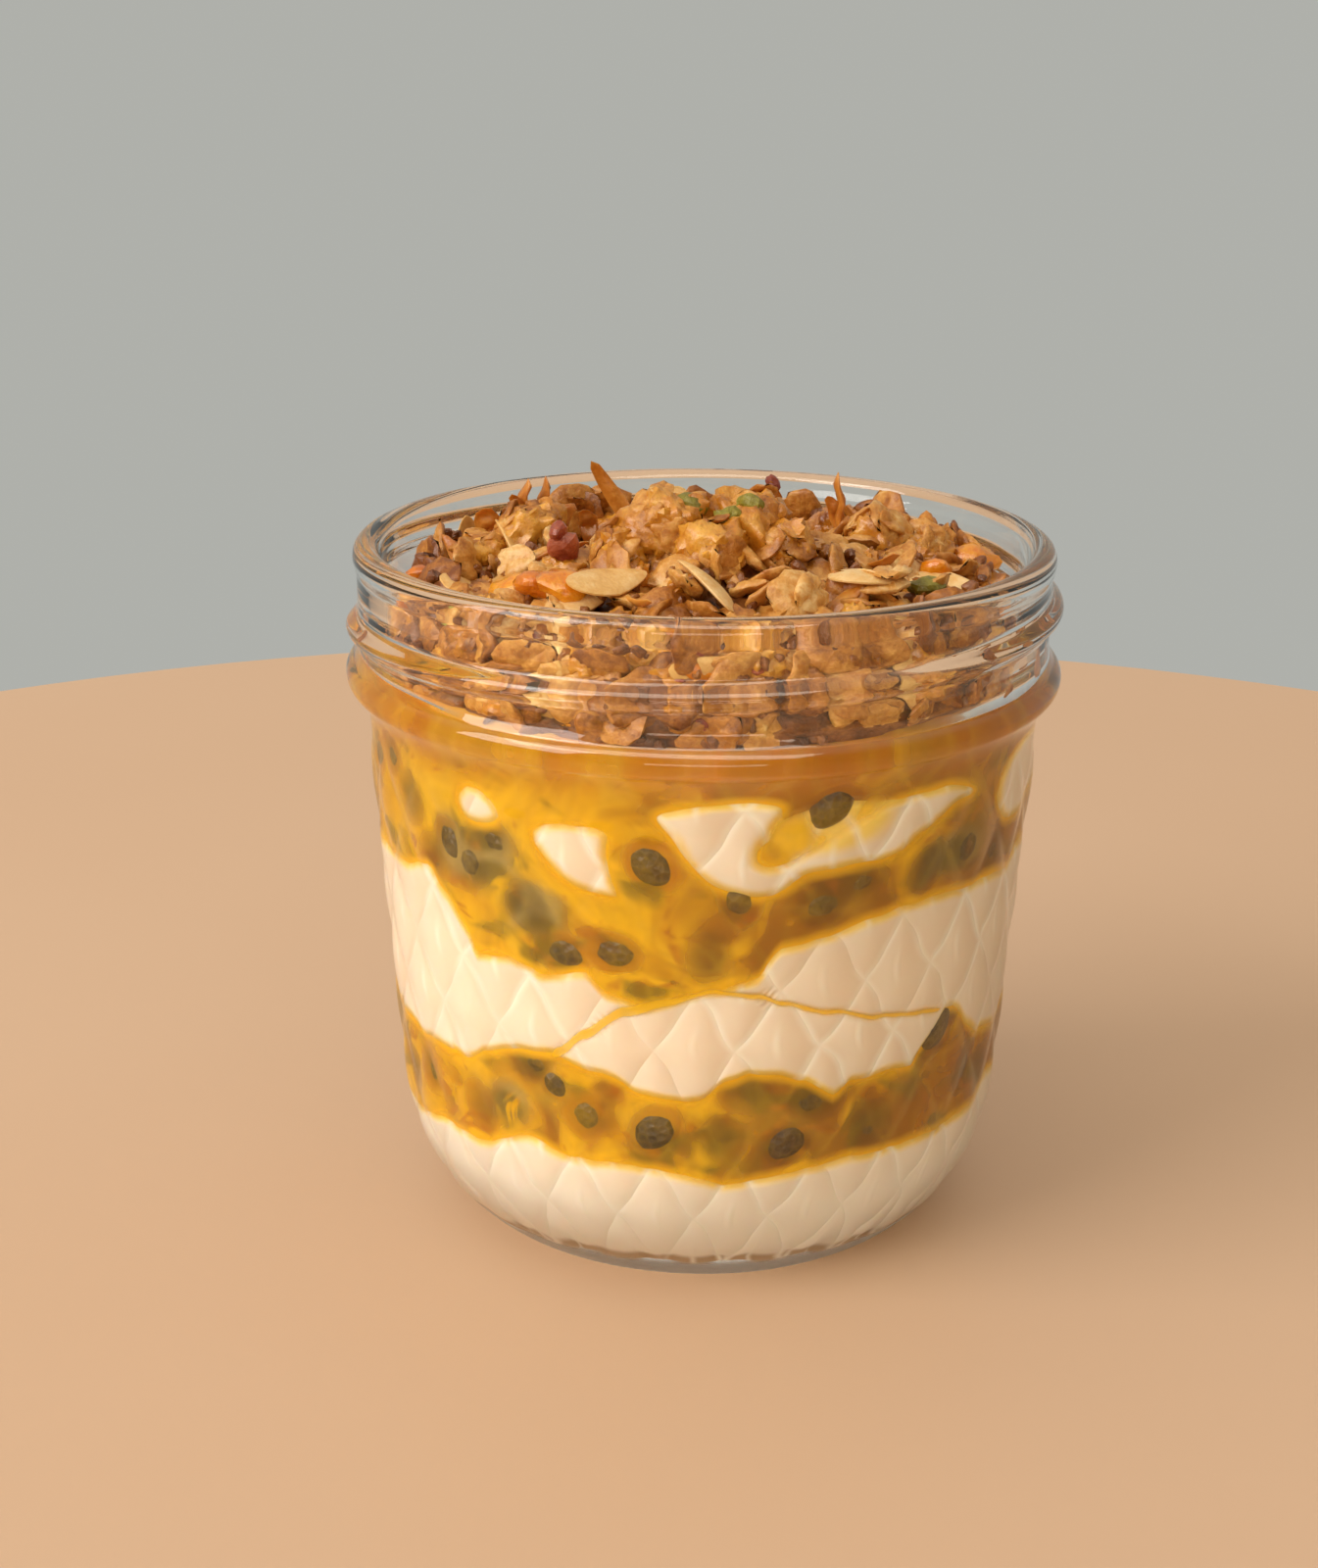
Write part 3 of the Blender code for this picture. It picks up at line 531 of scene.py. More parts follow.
yogurtLook = {
    # painted light and shade: shade on the dimmer side of each diamond, line for bright caustic lines, low for the
    # paler bottom, under for the dark underside
    "cream": (0.91, 0.78, 0.62), "shade": (0.84, 0.66, 0.47), "line": (1.0, 0.93, 0.80), "stained": (0.96, 0.66, 0.10),
    "low": (0.97, 0.88, 0.75), "under": (0.40, 0.26, 0.14), "roughness": 0.45, "causticLineShare": 0.7, "reliefDepth": 0.55,
}


def quiltWires(recipe):
    # the same lattice as the glass, worked out from the place on the wall, with masks for painted caustic lines and for
    # painted shade across each diamond
    x, y, z = recipe.axes()
    turn = x.angleOver(y * -1)
    column = turn * (quiltSize["columns"] / (2 * math.pi)) - quiltSize["startAzimuth"] * quiltSize["columns"] / 360
    row = (z - quiltSize["crossingHeight"]) / quiltSize["diamondHeight"]
    row = row + (row * (4 * math.pi)).maths("SINE") * 0.03
    column = column + (row * (4 * math.pi) + 0.6).maths("SINE") * 0.02 + (recipe.grain(90, 2) - 0.5) * 0.2
    rising, falling = (column + row).maths("FRACT") - 0.5, (column - row).maths("FRACT") - 0.5
    across, up = (rising + falling) * 0.5, (rising - falling) * 0.5
    crease = rising.maths("ABSOLUTE").most(falling.maths("ABSOLUTE")).ramp(0.38, 0.5)
    ridge = (1 - across.maths("ABSOLUTE").ramp(0.0, 0.07)) * (1 - (up - 0.05).maths("ABSOLUTE").ramp(0.03, 0.24))
    relief = ((rising * math.pi).maths("COSINE") * (falling * math.pi).maths("COSINE")).most(0.001) ** 0.8
    # painted shade: each diamond runs from lit on its left to shaded on its right
    facetShadeShare = across.ramp(-0.2, 0.2)
    return crease, ridge, relief, facetShadeShare


def yogurtMaterial():
    look = yogurtLook
    recipe = Recipe("plainYogurt")
    crease, ridge, relief, facetShadeShare = quiltWires(recipe)
    clouds = recipe.grain(140, 4)
    # painted shade: cream on the lit side of each diamond, the shade colour on its other side, mixed with random clouds
    body = recipe.blend((facetShadeShare * 0.5 + clouds * 0.5 - 0.1).most(0), look["cream"], look["shade"])
    # painted light: the yogurt is paler towards its bottom
    body = recipe.blend(1 - recipe.axes()[2].ramp(0.010, 0.020), body, look["low"])
    # painted shade: the underside on the glass floor is dark brown
    body = recipe.blend(1 - recipe.axes()[2].ramp(0.0049, 0.0055), body, look["under"])
    stained = recipe.mark("stain") * (0.6 + clouds * 0.8)
    body = recipe.blend(stained.least(1), body, look["stained"])
    # painted highlight: bright caustic lines along the creases and ridges of the quilting
    causticSeen = recipe.grain(75, 2).ramp(0.3, 0.6) * look["causticLineShare"]
    body = recipe.blend(crease.most(ridge * 0.8) * causticSeen, body, look["line"])
    height = relief + ridge * 0.12 + clouds * 0.05
    return recipe.finish(
        body, look["roughness"], height, look["reliefDepth"], 0.8,
        Subsurface_Weight=0.3, Subsurface_Radius=(1.0, 0.6, 0.35), Subsurface_Scale=0.003, Specular_IOR_Level=0.12,
    )


yogurtDressed = yogurtMaterial()
for yogurt, node in makeYogurts():
    spots = pointsOf(yogurt)
    azimuth, height = azimuthsOf(spots), spots[:, 2]
    stain = 1 - eased((-pulpDepth(azimuth, height) - 0.1 * mm) / (1.1 * mm))
    stain = np.maximum(stain, 0.6 * (1 - eased(seamOffset(azimuth, height) / (0.7 * mm))))
    stain = np.maximum(stain, thinness(azimuth, height) * (height > 50 * mm))
    addMark(yogurt, "stain", stain * 0.9)
    dress(yogurt, yogurtDressed, "yogurt", node)


# seeds: azimuth, height in mm, how far they stand towards the glass (1 clear, 0 sunk), lean in degrees, size
seedsInView = [
    (-9.0, 54.7, 1.0, 35, 1.0), (20.9, 61.0, 1.0, -40, 1.05), (5.7, 50.9, 0.75, 20, 0.85), (20.0, 50.1, 0.7, -60, 1.05),
    (0.5, 44.2, 0.45, 10, 1.0), (-24.9, 43.2, 0.8, 80, 1.0), (-15.8, 44.3, 0.8, 75, 1.0), (-43.4, 52.0, 0.7, -20, 1.1),
    (-31.1, 48.3, 0.4, 50, 1.0), (-48.5, 53.5, 0.9, 10, 0.9), (-22.1, 23.6, 0.75, 15, 1.0), (-27.8, 26.6, 0.9, 40, 0.6),
    (-32.3, 29.0, 0.6, 60, 0.95), (-8.5, 22.9, 1.0, -30, 1.05), (3.3, 21.9, 0.35, 0, 1.0), (15.9, 20.6, 1.0, -50, 0.95),
    (20.8, 25.8, 0.6, -75, 1.0), (7.4, 28.0, 0.5, -70, 1.0), (32.6, 21.0, 0.5, -20, 1.1), (47.7, 31.0, 1.0, -35, 1.15),
    (-45.0, 21.0, 0.55, 20, 1.05), (26.5, 52.0, 0.6, -75, 1.0), (51.0, 53.2, 0.7, -15, 1.0),
    (40.0, 52.0, 0.5, -30, 1.0), (-38.0, 55.4, 0.6, 65, 1.0), (-53.0, 50.5, 0.5, 10, 1.0),
    (60.0, 50.5, 0.6, -20, 1.0), (-62.0, 22.0, 0.6, 15, 1.0), (58.0, 23.5, 0.7, -15, 1.0), (66.0, 21.5, 0.5, 30, 1.0),
    (-59.0, 56.5, 0.5, 30, 1.0), (-66.0, 61.0, 0.6, 10, 1.0),
]
seedSize = {"halfLength": 2.9 * mm, "halfWidth": 2.25 * mm, "halfThickness": 1.25 * mm, "hiddenCount": 52, "seed": 5,
            "wallRadius": 35.6}


def allSeeds():
    # those the front shows, then more of them spread round the sides and the back
    dice = random.Random(seedSize["seed"])
    spots, tries = [*seedsInView], 0
    while len(spots) < len(seedsInView) + seedSize["hiddenCount"] and tries < 6000:
        tries += 1
        azimuth, height = dice.uniform(70, 290), dice.uniform(18, 65)
        clear = all(abs(turnedFrom(azimuth, other[0])) * degreeLength + abs(height - other[1]) > 5.5 for other in spots)
        if clear and pulpDepth(np.array([azimuth]), np.array([height * mm]))[0] > 1.8 * mm:
            spots.append((azimuth, height, dice.choice((0.3, 0.5, 0.8, 1.0)), dice.uniform(-80, 80),
                          dice.uniform(0.9, 1.1)))
    return spots


seeds = allSeeds()


def seedMarks(azimuth, height):
    # how clearly, and how hazily, a seed shows at each point of the wall
    clearest, haziest = np.zeros(len(azimuth)), np.zeros(len(azimuth))
    for seedAzimuth, seedHeight, stand, lean, size in seeds:
        across = turnedFrom(azimuth, seedAzimuth) * math.radians(seedSize["wallRadius"])
        up, turn = height / mm - seedHeight, math.radians(lean)
        along, beside = across * math.sin(turn) - up * math.cos(turn), across * math.cos(turn) + up * math.sin(turn)
        off = np.hypot(along * mm / seedSize["halfLength"], beside * mm / seedSize["halfWidth"]) / size
        clearest = np.maximum(clearest, stand * (1 - eased((off - 0.9) / 0.5)))
        haziest = np.maximum(haziest, (1 - 0.8 * stand) * (1 - eased((off - 0.35) / 1.15)))
    return clearest, haziest




# passion fruit: an opaque heart, a clear film against the glass, and seeds between them
pulpLook = {
    "amber": (0.56, 0.215, 0.001), "yellow": (0.88, 0.46, 0.002), "orange": (0.50, 0.15, 0.001),
    "olive": (0.24, 0.155, 0.004), "deep": (0.22, 0.085, 0.001), "sunk": (0.075, 0.044, 0.003),
    "filmYellow": (0.98, 0.57, 0.003), "filmAmber": (0.56, 0.22, 0.001), "membrane": (0.70, 0.44, 0.03),
    # line is a painted caustic highlight on the film
    "line": (0.90, 0.56, 0.02), "top": (0.50, 0.165, 0.001), "grey": (0.24, 0.16, 0.022), "pale": (0.56, 0.40, 0.12),
    "roughness": 0.25,
}


def cloudiness(azimuth, height):
    # 1 where the sacs round the seeds show through as grey and pale skins
    spots = [(-42, 53, 13, 5.5), (-30, 48, 8, 4), (-38, 22.5, 6, 3.5), (47, 52.5, 9, 3.5), (150, 49, 20, 5),
             (-110, 54, 14, 5)]
    nearest = [np.hypot(turnedFrom(azimuth, turn) / wide, (height / mm - up) / tall) for turn, up, wide, tall in spots]
    return 1 - eased((np.min(nearest, axis=0) - 0.35) / 0.75)


def pulpTones(recipe, yellowest, amber):
    # yellow juice and amber flesh in patches a seed wide, yellower towards the left as painted light, olive where a
    # sunken seed shows through
    look = pulpLook
    broad, patches = recipe.grain(95, 2, warp=0.9), recipe.grain(170, 2, warp=1.4)
    # painted light: the x term makes the left, lit side yellower
    body = recipe.blend((broad - recipe.axes()[0] * 6).ramp(0.38, 0.6), look[amber], look[yellowest])
    body = recipe.blend(patches.ramp(0.55, 0.7) * 0.7, body, look["orange"])
    body = recipe.blend(recipe.grain(120, 2, warp=0.7, stretch=(1, 1, 1.4)).ramp(0.53, 0.68) * 0.8, body, look["olive"])
    body = recipe.blend(recipe.axes()[2].ramp(0.0595, 0.0655) * 0.75, body, look["top"])
    sacs, cloudy = recipe.cells(165), recipe.mark("cloudy")
    body = recipe.blend(sacs.ramp(0.55, 0.85) * 0.3, body, look["membrane"])
    body = recipe.blend(patches.ramp(0.36, 0.5) * cloudy, body, look["grey"])
    body = recipe.blend(sacs.ramp(0.5, 0.72) * cloudy * 0.8, body, look["pale"])
    return recipe.blend(recipe.mark("hazy") * (0.65 + patches * 0.4), body, look["sunk"]), sacs


def pulpMaterial():
    look = pulpLook
    recipe = Recipe("passionFruitPulp")
    relief = quiltWires(recipe)[2]
    body, sacs = pulpTones(recipe, "amber", "deep")
    body = recipe.blend(1 - recipe.mark("edge").ramp(0.0, 1.4), body, look["yellow"])
    return recipe.finish(
        body, look["roughness"], sacs + relief * 0.3, 0.6, 0.5, Specular_IOR_Level=0.15,
        Subsurface_Weight=0.3, Subsurface_Radius=(1.0, 0.5, 0.05), Subsurface_Scale=0.002,
    )


def makePulps():
    over = 1.2 * mm
    bottom, top = evened("bottomYogurtTop", 17 * mm, -over), evened("lowerPulpTop", 28 * mm, over)
    yield makeLayer("lowerPulpHeart", 40, bottom, top, pulpSide), "passion_fruit_lower"
    bottom, top = evened("middleYogurtTop", 43 * mm, -over), evened("pulpTop", 67.4 * mm, 0.2 * mm)
    yield makeLayer("upperPulpHeart", 56, bottom, top, pulpSide), "passion_fruit_upper"


pulpDressed = pulpMaterial()
for pulp, node in makePulps():
    spots = pointsOf(pulp)
    addMark(pulp, "edge", pulpDepth(azimuthsOf(spots), spots[:, 2], True) / mm)
    addMark(pulp, "hazy", seedMarks(azimuthsOf(spots), spots[:, 2])[1])
    addMark(pulp, "cloudy", cloudiness(azimuthsOf(spots), spots[:, 2]))
    dress(pulp, pulpDressed, "passion_fruit", node)


def makeFilm(name, low, high, levels, steps=400, follows=None):
    # a thin clear layer of juice on the wall, kept only where there is fruit or a stain of it
    heights = np.linspace(low, high, levels) * mm
    profile = [(float(innerRadius(height) + wallReach["film"]), height) for height in heights]
    piece = turnProfile(name, profile, steps)
    points = pointsOf(piece)
    azimuth, height = azimuthsOf(points), points[:, 2]
    depth, seam = pulpDepth(azimuth, height), np.full(len(points), 9 * mm)
    if follows:
        height = edgeHeight(follows, azimuth, 0.15) + height - (low + high) / 2 * mm
        setPoints(piece, ringPoints(azimuth, innerRadius(height) + wallReach["film"] + 0.02 * mm, height))
        depth, seam = np.full(len(points), -9 * mm), seamOffset(azimuth, height)
    clearest, haziest = seedMarks(azimuth, height)
    marks = {"depth": depth / mm, "edge": pulpDepth(azimuth, height, True) / mm, "seam": seam / mm, "clear": clearest,
             "hazy": haziest, "thin": thinness(azimuth, height), "cloudy": cloudiness(azimuth, height)}
    for mark, values in marks.items():
        addMark(piece, mark, values)
    bare = (depth < -2.2 * mm) & (seam > 0.9 * mm)
    piece.data.vertices.foreach_set("select", bare)
    for parts in (piece.data.edges, piece.data.polygons):
        parts.foreach_set("select", np.zeros(len(parts), bool))
    bpy.ops.object.mode_set(mode="EDIT")
    bpy.ops.mesh.select_mode(type="VERT")
    bpy.ops.mesh.delete(type="VERT")
    bpy.ops.object.mode_set(mode="OBJECT")
    return piece


def filmMaterial():
    look = pulpLook
    recipe = Recipe("passionFruitJuice")
    crease, ridge, relief = quiltWires(recipe)[:3]
    depth, seam = recipe.mark("depth"), recipe.mark("seam")
    broad, fine = recipe.grain(95, 3, warp=0.8), recipe.grain(420, 3)
    body, sacs = pulpTones(recipe, "filmYellow", "filmAmber")
    thinness = (1 - recipe.mark("edge").ramp(0.1, 1.5)).most(recipe.mark("thin"))
    body = recipe.blend(thinness * 0.9, body, look["filmYellow"])
    # painted highlight: faint bright caustic lines along the quilting's creases and ridges
    body = recipe.blend(crease.most(ridge * 0.7) * 0.22, body, look["line"])
    reach = depth + (fine - 0.5) * 0.7 + (broad - 0.5) * 1.4
    cover = reach.ramp(-1.1, 1.2) * (0.42 + broad.ramp(0.35, 0.7) * 0.3 + recipe.mark("thin") * 0.2)
    cover = cover * (1 - recipe.mark("clear") * 0.85)
    broader = (1 - recipe.axes()[0].ramp(-0.007, -0.001)) * 0.35
    thread = (1 - (seam + (fine - 0.5) * 0.25 - broader).ramp(0.04, 0.5)) * 0.7
    relief = sacs + relief * 0.4
    return recipe.finish(body, look["roughness"], relief, 0.4, 0.5, cover.most(thread), Specular_IOR_Level=0.15)


filmDressed = filmMaterial()
dress(makeFilm("lowerJuiceFilm", 12, 42, 76), filmDressed, "passion_fruit", "passion_fruit_lower")
dress(makeFilm("upperJuiceFilm", 36.5, 69.5, 84), filmDressed, "passion_fruit", "passion_fruit_upper")
dress(makeFilm("juiceThread", 35.9, 37.7, 15, 1200, "middleSeam"), filmDressed, "passion_fruit")


# copies of a modelled shape, joined into one piece for each kind
def takeShape(piece):
    points = pointsOf(piece)
    faces = [tuple(face.vertices) for face in piece.data.polygons]
    bpy.data.objects.remove(piece, do_unlink=True)
    return points, faces


def joinCopies(name, shapes, places, smooth=True):
    allPoints, allFaces, tones = [], [], []
    start = 0
    for index, matrix, tone in places:
        points, faces = shapes[index % len(shapes)]
        turned = points @ np.array(matrix.to_3x3()).T + np.array(matrix.translation)
        allPoints.append(turned)
        allFaces += [tuple(corner + start for corner in face) for face in faces]
        tones.append(np.full(len(points), tone))
        start += len(points)
    mesh = bpy.data.meshes.new(name)
    mesh.from_pydata(np.concatenate(allPoints).tolist(), [], allFaces)
    piece = bpy.data.objects.new(name, mesh)
    bpy.context.scene.collection.objects.link(piece)
    addMark(piece, "tone", np.concatenate(tones))
    deselectAll()
    piece.select_set(True)
    bpy.context.view_layer.objects.active = piece
    if smooth:
        bpy.ops.object.shade_smooth_by_angle(angle=math.radians(50))
    return piece


def roundShape(name, segments, rings, size, shaper):
    # a sphere, stretched and then worked over point by point
    deselectAll()
    bpy.ops.mesh.primitive_uv_sphere_add(segments=segments, ring_count=rings, radius=1)
    piece = bpy.context.object
    bpy.ops.object.mode_set(mode="EDIT")
    bpy.ops.mesh.select_all(action="SELECT")
    bpy.ops.transform.resize(value=size)
    bpy.ops.object.mode_set(mode="OBJECT")
    piece.name = name
    setPoints(piece, [shaper(Vector(point)) for point in pointsOf(piece)])
    return takeShape(piece)


def placed(where, turn, size=1.0):
    return Matrix.Translation(where) @ turn.to_matrix().to_4x4() @ Matrix.Diagonal((size, size, size, 1))


def seedShapes():
    size = seedSize

    def work(point, index):
        narrow = 1 - 0.22 * max(0.0, point.x / size["halfLength"]) ** 1.5
        point.y *= narrow
        pits = noise.noise(point * 1500 + Vector((index * 7, 0, 0))) * 0.09 * mm
        return point + point.normalized() * pits
    sizes = (size["halfLength"], size["halfWidth"], size["halfThickness"])
    return [roundShape("seedShape", 28, 18, sizes, lambda point, seed=index: work(point, seed)) for index in range(3)]


def seedPlaces():
    dice = random.Random(seedSize["seed"])
    for index, (azimuth, height, stand, lean, size) in enumerate(seeds):
        outermost = between(-0.5 * mm, wallReach["film"] - 0.08 * mm, stand)
        radius = float(innerRadius(height * mm)) + outermost - seedSize["halfThickness"] * size
        turn = Euler((math.radians(90), 0, 0))
        turn.rotate(Euler((0, math.radians(90 - lean), 0)))
        turn.rotate(Euler((math.radians(dice.uniform(-6, 6)), 0, math.radians(azimuth + dice.uniform(-6, 6)))))
        yield index, placed(atAzimuth(azimuth, radius, height * mm), turn, size), stand


seedLook = {
    "dark": (0.018, 0.010, 0.002), "brown": (0.060, 0.034, 0.005), "olive": (0.15, 0.10, 0.012), "roughness": 0.3,
}


def seedMaterial():
    look = seedLook
    recipe = Recipe("passionFruitSeed")
    pits, patches = recipe.cells(1300), recipe.grain(380, 3)
    body = recipe.blend(patches.ramp(0.35, 0.65), look["dark"], look["brown"])
    body = recipe.blend((1 - recipe.mark("tone")) * 0.6 + pits.ramp(0.45, 0.75) * 0.4, body, look["olive"])
    return recipe.finish(body, look["roughness"], pits, 0.25, 0.8, Specular_IOR_Level=0.4)


dress(joinCopies("passionFruitSeeds", seedShapes(), list(seedPlaces())), seedMaterial(), "passion_fruit")


# granola
heapSize = {
    "floor": 65.6 * mm, "steps": 150, "spread": 33 * mm,
    # x, y, width and rise in millimetres
    "mounds": [(1, -7, 8.5, 3.6), (-21, 2, 8, 2.6), (19, 5, 9, 3.4), (-10, 5, 5.5, -1.6), (-11, 3, 6, -2.2),
               (12.5, 1, 5, -2.8)],
}


def heapHeight(x, y):
    # three mounds with a hollow between two of them, falling away to a low back
    across = np.hypot(x, y) / jarSize["mouthRadius"]
    height = 81.2 - 5.6 * across ** 3 - 5.6 * (1 - np.exp(-np.maximum(0, np.asarray(y) / mm + 4) / 14))
    for centreX, centreY, width, rise in heapSize["mounds"]:
        off = np.hypot(x / mm - centreX, y / mm - centreY)
        height = height + rise * np.exp(-(off / width) ** 2)
    return (height - 1.2 * eased((across - 0.3) / 0.4)) * mm


def heapRadius(azimuth, height):
    # against the glass at its foot and its front, clear of it at the left and right
    share = eased((np.asarray(height) - 69 * mm) / (6 * mm))
    openSide = np.abs(np.sin(np.radians(np.asarray(azimuth)))) ** 1.6
    return innerRadius(height) - 0.6 * mm - between(1.0 * mm, 5.2 * mm, openSide) * share


def makeHeart():
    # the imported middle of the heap, rough with crumbs
    rings = [(0, 0), (0.9 * mm, 0)] + [(1 * mm, level * mm) for level in np.linspace(0, 0.9, 16)]
    rings += [(share * mm, 1 * mm) for share in np.linspace(0.97, 0, 34)]
    piece = turnProfile("granolaHeart", rings, heapSize["steps"])
    points = pointsOf(piece)
    share, level, azimuth = np.hypot(points[:, 0], points[:, 1]) / mm, points[:, 2] / mm, azimuthsOf(points)
    around = ringPoints(azimuth, share * heapSize["spread"], level)
    height = between(heapSize["floor"], heapHeight(around[:, 0], around[:, 1]), level)
    radius = share * (heapRadius(azimuth, height) - 0.5 * mm)
    points = ringPoints(azimuth, radius, height)
    bumps = np.array([noise.noise(Vector(point) * 330) + 0.7 * noise.noise(Vector(point) * 900) for point in points])
    points[:, 2] += np.where(level > 0.05, bumps * 1.0 * mm - 0.8 * mm, 0)
    shrink = 1 - np.clip(-bumps, 0, 1) * 0.05
    points[:, 0] *= shrink
    points[:, 1] *= shrink
    setPoints(piece, points)
    # painted shade: the tone mark darkens the heart's hollows between its bumps
    addMark(piece, "tone", bumps * 0.5 + 0.4)
    return piece


bakedLook = {
    # dark crumb colours, partly toasted crumb and partly painted shade in the gaps between the pieces
    "crumbAndGapShade": [(0.0, (0.055, 0.012, 0.001)), (0.45, (0.20, 0.058, 0.006)), (1.0, (0.48, 0.20, 0.035))],
    "oat": [(0.0, (0.18, 0.047, 0.003)), (0.35, (0.43, 0.155, 0.016)), (0.7, (0.66, 0.325, 0.068)),
            (1.0, (0.86, 0.59, 0.25))],
    "cluster": [(0.0, (0.19, 0.045, 0.002)), (0.5, (0.54, 0.205, 0.013)), (1.0, (0.80, 0.43, 0.06))],
    "almond": [(0.0, (0.55, 0.26, 0.055)), (0.5, (0.74, 0.44, 0.14)), (1.0, (0.86, 0.62, 0.30))],
    "coconut": [(0.0, (0.36, 0.10, 0.008)), (0.5, (0.56, 0.21, 0.025)), (1.0, (0.72, 0.36, 0.07))],
    "pistachio": [(0.0, (0.11, 0.08, 0.004)), (0.5, (0.22, 0.19, 0.012)), (1.0, (0.42, 0.36, 0.05))],
    "berry": [(0.0, (0.09, 0.010, 0.004)), (0.5, (0.24, 0.034, 0.012)), (1.0, (0.46, 0.12, 0.045))],
    "apricot": [(0.0, (0.46, 0.10, 0.002)), (0.5, (0.68, 0.20, 0.003)), (1.0, (0.85, 0.38, 0.015))],
}


def bakedMaterial(kind, roughness=0.45, coat=0.15, speckle=650, depth=0.35, under=0.08):
    # toasted unevenly in patches and dusted with fine crumbs; darker where the tone mark is low, which is painted shade
    # in the heart's hollows and on the pieces against the glass
    recipe = Recipe(kind + "Baked")
    coarse, fine, dust = recipe.grain(210, 4, warp=0.3), recipe.grain(speckle, 4), recipe.grain(speckle * 3.2, 3)
    share = recipe.mark("tone") * 0.6 + coarse.ramp(0.3, 0.7) * 0.36 + (fine - 0.5) * 0.9 + (dust - 0.5) * 0.5
    body = recipe.node("ValToRGB", {"stops": bakedLook[kind]}, {0: share})
    shine = roughness + (coarse - 0.5) * 0.4
    return recipe.finish(
        body, shine, fine + coarse * 0.6 + dust * 0.45, depth, 0.75, Coat_Weight=coat, Coat_Roughness=0.2,
        Subsurface_Weight=under, Subsurface_Radius=(1.0, 0.5, 0.2), Subsurface_Scale=0.0015, Specular_IOR_Level=0.3,
    )


dress(makeHeart(), bakedMaterial("crumbAndGapShade"), "granola", "granola")


def oatShape(index):
    # a rolled oat: a ragged oval as thick as a coin, creased along its middle and wavy; every third one is broken
    dice = random.Random(40 + index)
    long, wide = dice.uniform(3.0, 3.9), dice.uniform(2.2, 2.9)
    curl, twist = dice.uniform(-0.04, 0.05), dice.uniform(-0.03, 0.03)
    broken = long * (0.3 if index % 3 == 2 else 2)

    def work(point):
        x, y, z = point / mm
        turn = math.atan2(y, x)
        ragged = noise.noise(Vector((math.cos(turn) * 1.1, math.sin(turn) * 1.1, index * 5))) * 0.22
        ragged += noise.noise(Vector((math.cos(turn) * 3.6, math.sin(turn) * 3.6, index * 5))) * 0.16
        x, y = x * (1 + ragged), y * (1 + ragged)
        if x > broken:
            x = broken + (x - broken) * 0.15 + noise.noise(Vector((y * 1.3, index, 2))) * 0.6
        z -= 0.35 * math.exp(-(y / 0.35) ** 2) * (1 if z > 0 else -0.4)
        z += curl * x * x + twist * x * y + noise.noise(Vector((x * 0.9, y * 0.9, index))) * 0.4
        z += noise.noise(Vector((x * 0.9, y * 2.6, index + 9))) * 0.22
        return Vector((x, y, z)) * mm
    return roundShape("oatShape", 20, 9, (long * mm, wide * mm, 0.72 * mm), work)


def lumpShape(index):
    # a nugget of oats and honey, lumpy and crumbly
    seed, rough = Vector((index * 3.1, index * 1.7, 0.5)), 0.4

    def work(point):
        lumps = noise.noise(point * 1.3 + seed) * rough + abs(noise.noise(point * 2.6 + seed)) * rough * 1.1
        crumbs = noise.noise(point * 6 + seed) * 0.14 + noise.noise(point * 12 + seed) * 0.08
        return point * (1 + lumps + crumbs)
    return roundShape("lumpShape", 40, 26, (1, 1, 0.8), work)


def almondShape(index):
    # a slice of almond, pointed at one end
    dice = random.Random(70 + index)
    long, wide = dice.uniform(4.4, 5.6), dice.uniform(2.0, 2.8)

    def work(point):
        x, y, z = point / mm
        y *= 1 - 0.4 * max(0.0, x / long)
        z = z * 0.9 + 0.02 * x * x * (1 if index % 2 else -1)
        return Vector((x, y, z)) * mm
    return roundShape("almondShape", 20, 9, (long * mm, wide * mm, 0.6 * mm), work)


stripLengths = [5.2, 6.0, 6.8, 7.4]


def stripShape(index):
    # a curled strip of toasted coconut
    dice = random.Random(90 + index)
    long, wide, curl = stripLengths[index], dice.uniform(0.9, 1.6), dice.uniform(0.01, 0.035)

    def work(point):
        x, y, z = point / mm
        bend = noise.noise(Vector((x * 0.4, index, 0))) * 1.2
        y = y * (1 + 0.3 * noise.noise(Vector((x * 0.9, 3, index)))) + bend * 0.5
        return Vector((x, y, z - curl * x * x + 0.25 * math.sin(x * 1.1 + index))) * mm
    return roundShape("stripShape", 12, 15, (long * mm, wide * mm, 0.4 * mm), work)


def shardShape(index, size):
    # a chopped bit with a few flat sides
    seed = Vector((index * 2.3, 4.0, index * 0.9))

    def work(point):
        corner = noise.cell_vector(point * 1.4 + seed) * 0.3
        return (point * (1 + 0.5 * noise.noise(point * 1.2 + seed)) + corner * 0.25) * size * mm
    return roundShape("shardShape", 12, 8, (1, 0.8, 0.6), work)


def randomTurn(dice, tilt):
    return Euler((dice.uniform(-tilt, tilt), dice.uniform(-tilt, tilt), dice.uniform(0, 2 * math.pi)))


def insideHeap(place, margin):
    # pulls a place in until a piece of that size keeps to the heap and clears the glass
    azimuth = math.degrees(math.atan2(place.x, -place.y))
    limit = float(heapRadius(azimuth, 80 * mm)) + 1.2 * mm - margin
    reach = math.hypot(place.x, place.y)
    if reach > limit:
        place = Vector((place.x * limit / reach, place.y * limit / reach, place.z))
    return place


goldenAngle, fullTurn = 137.508, 6.28


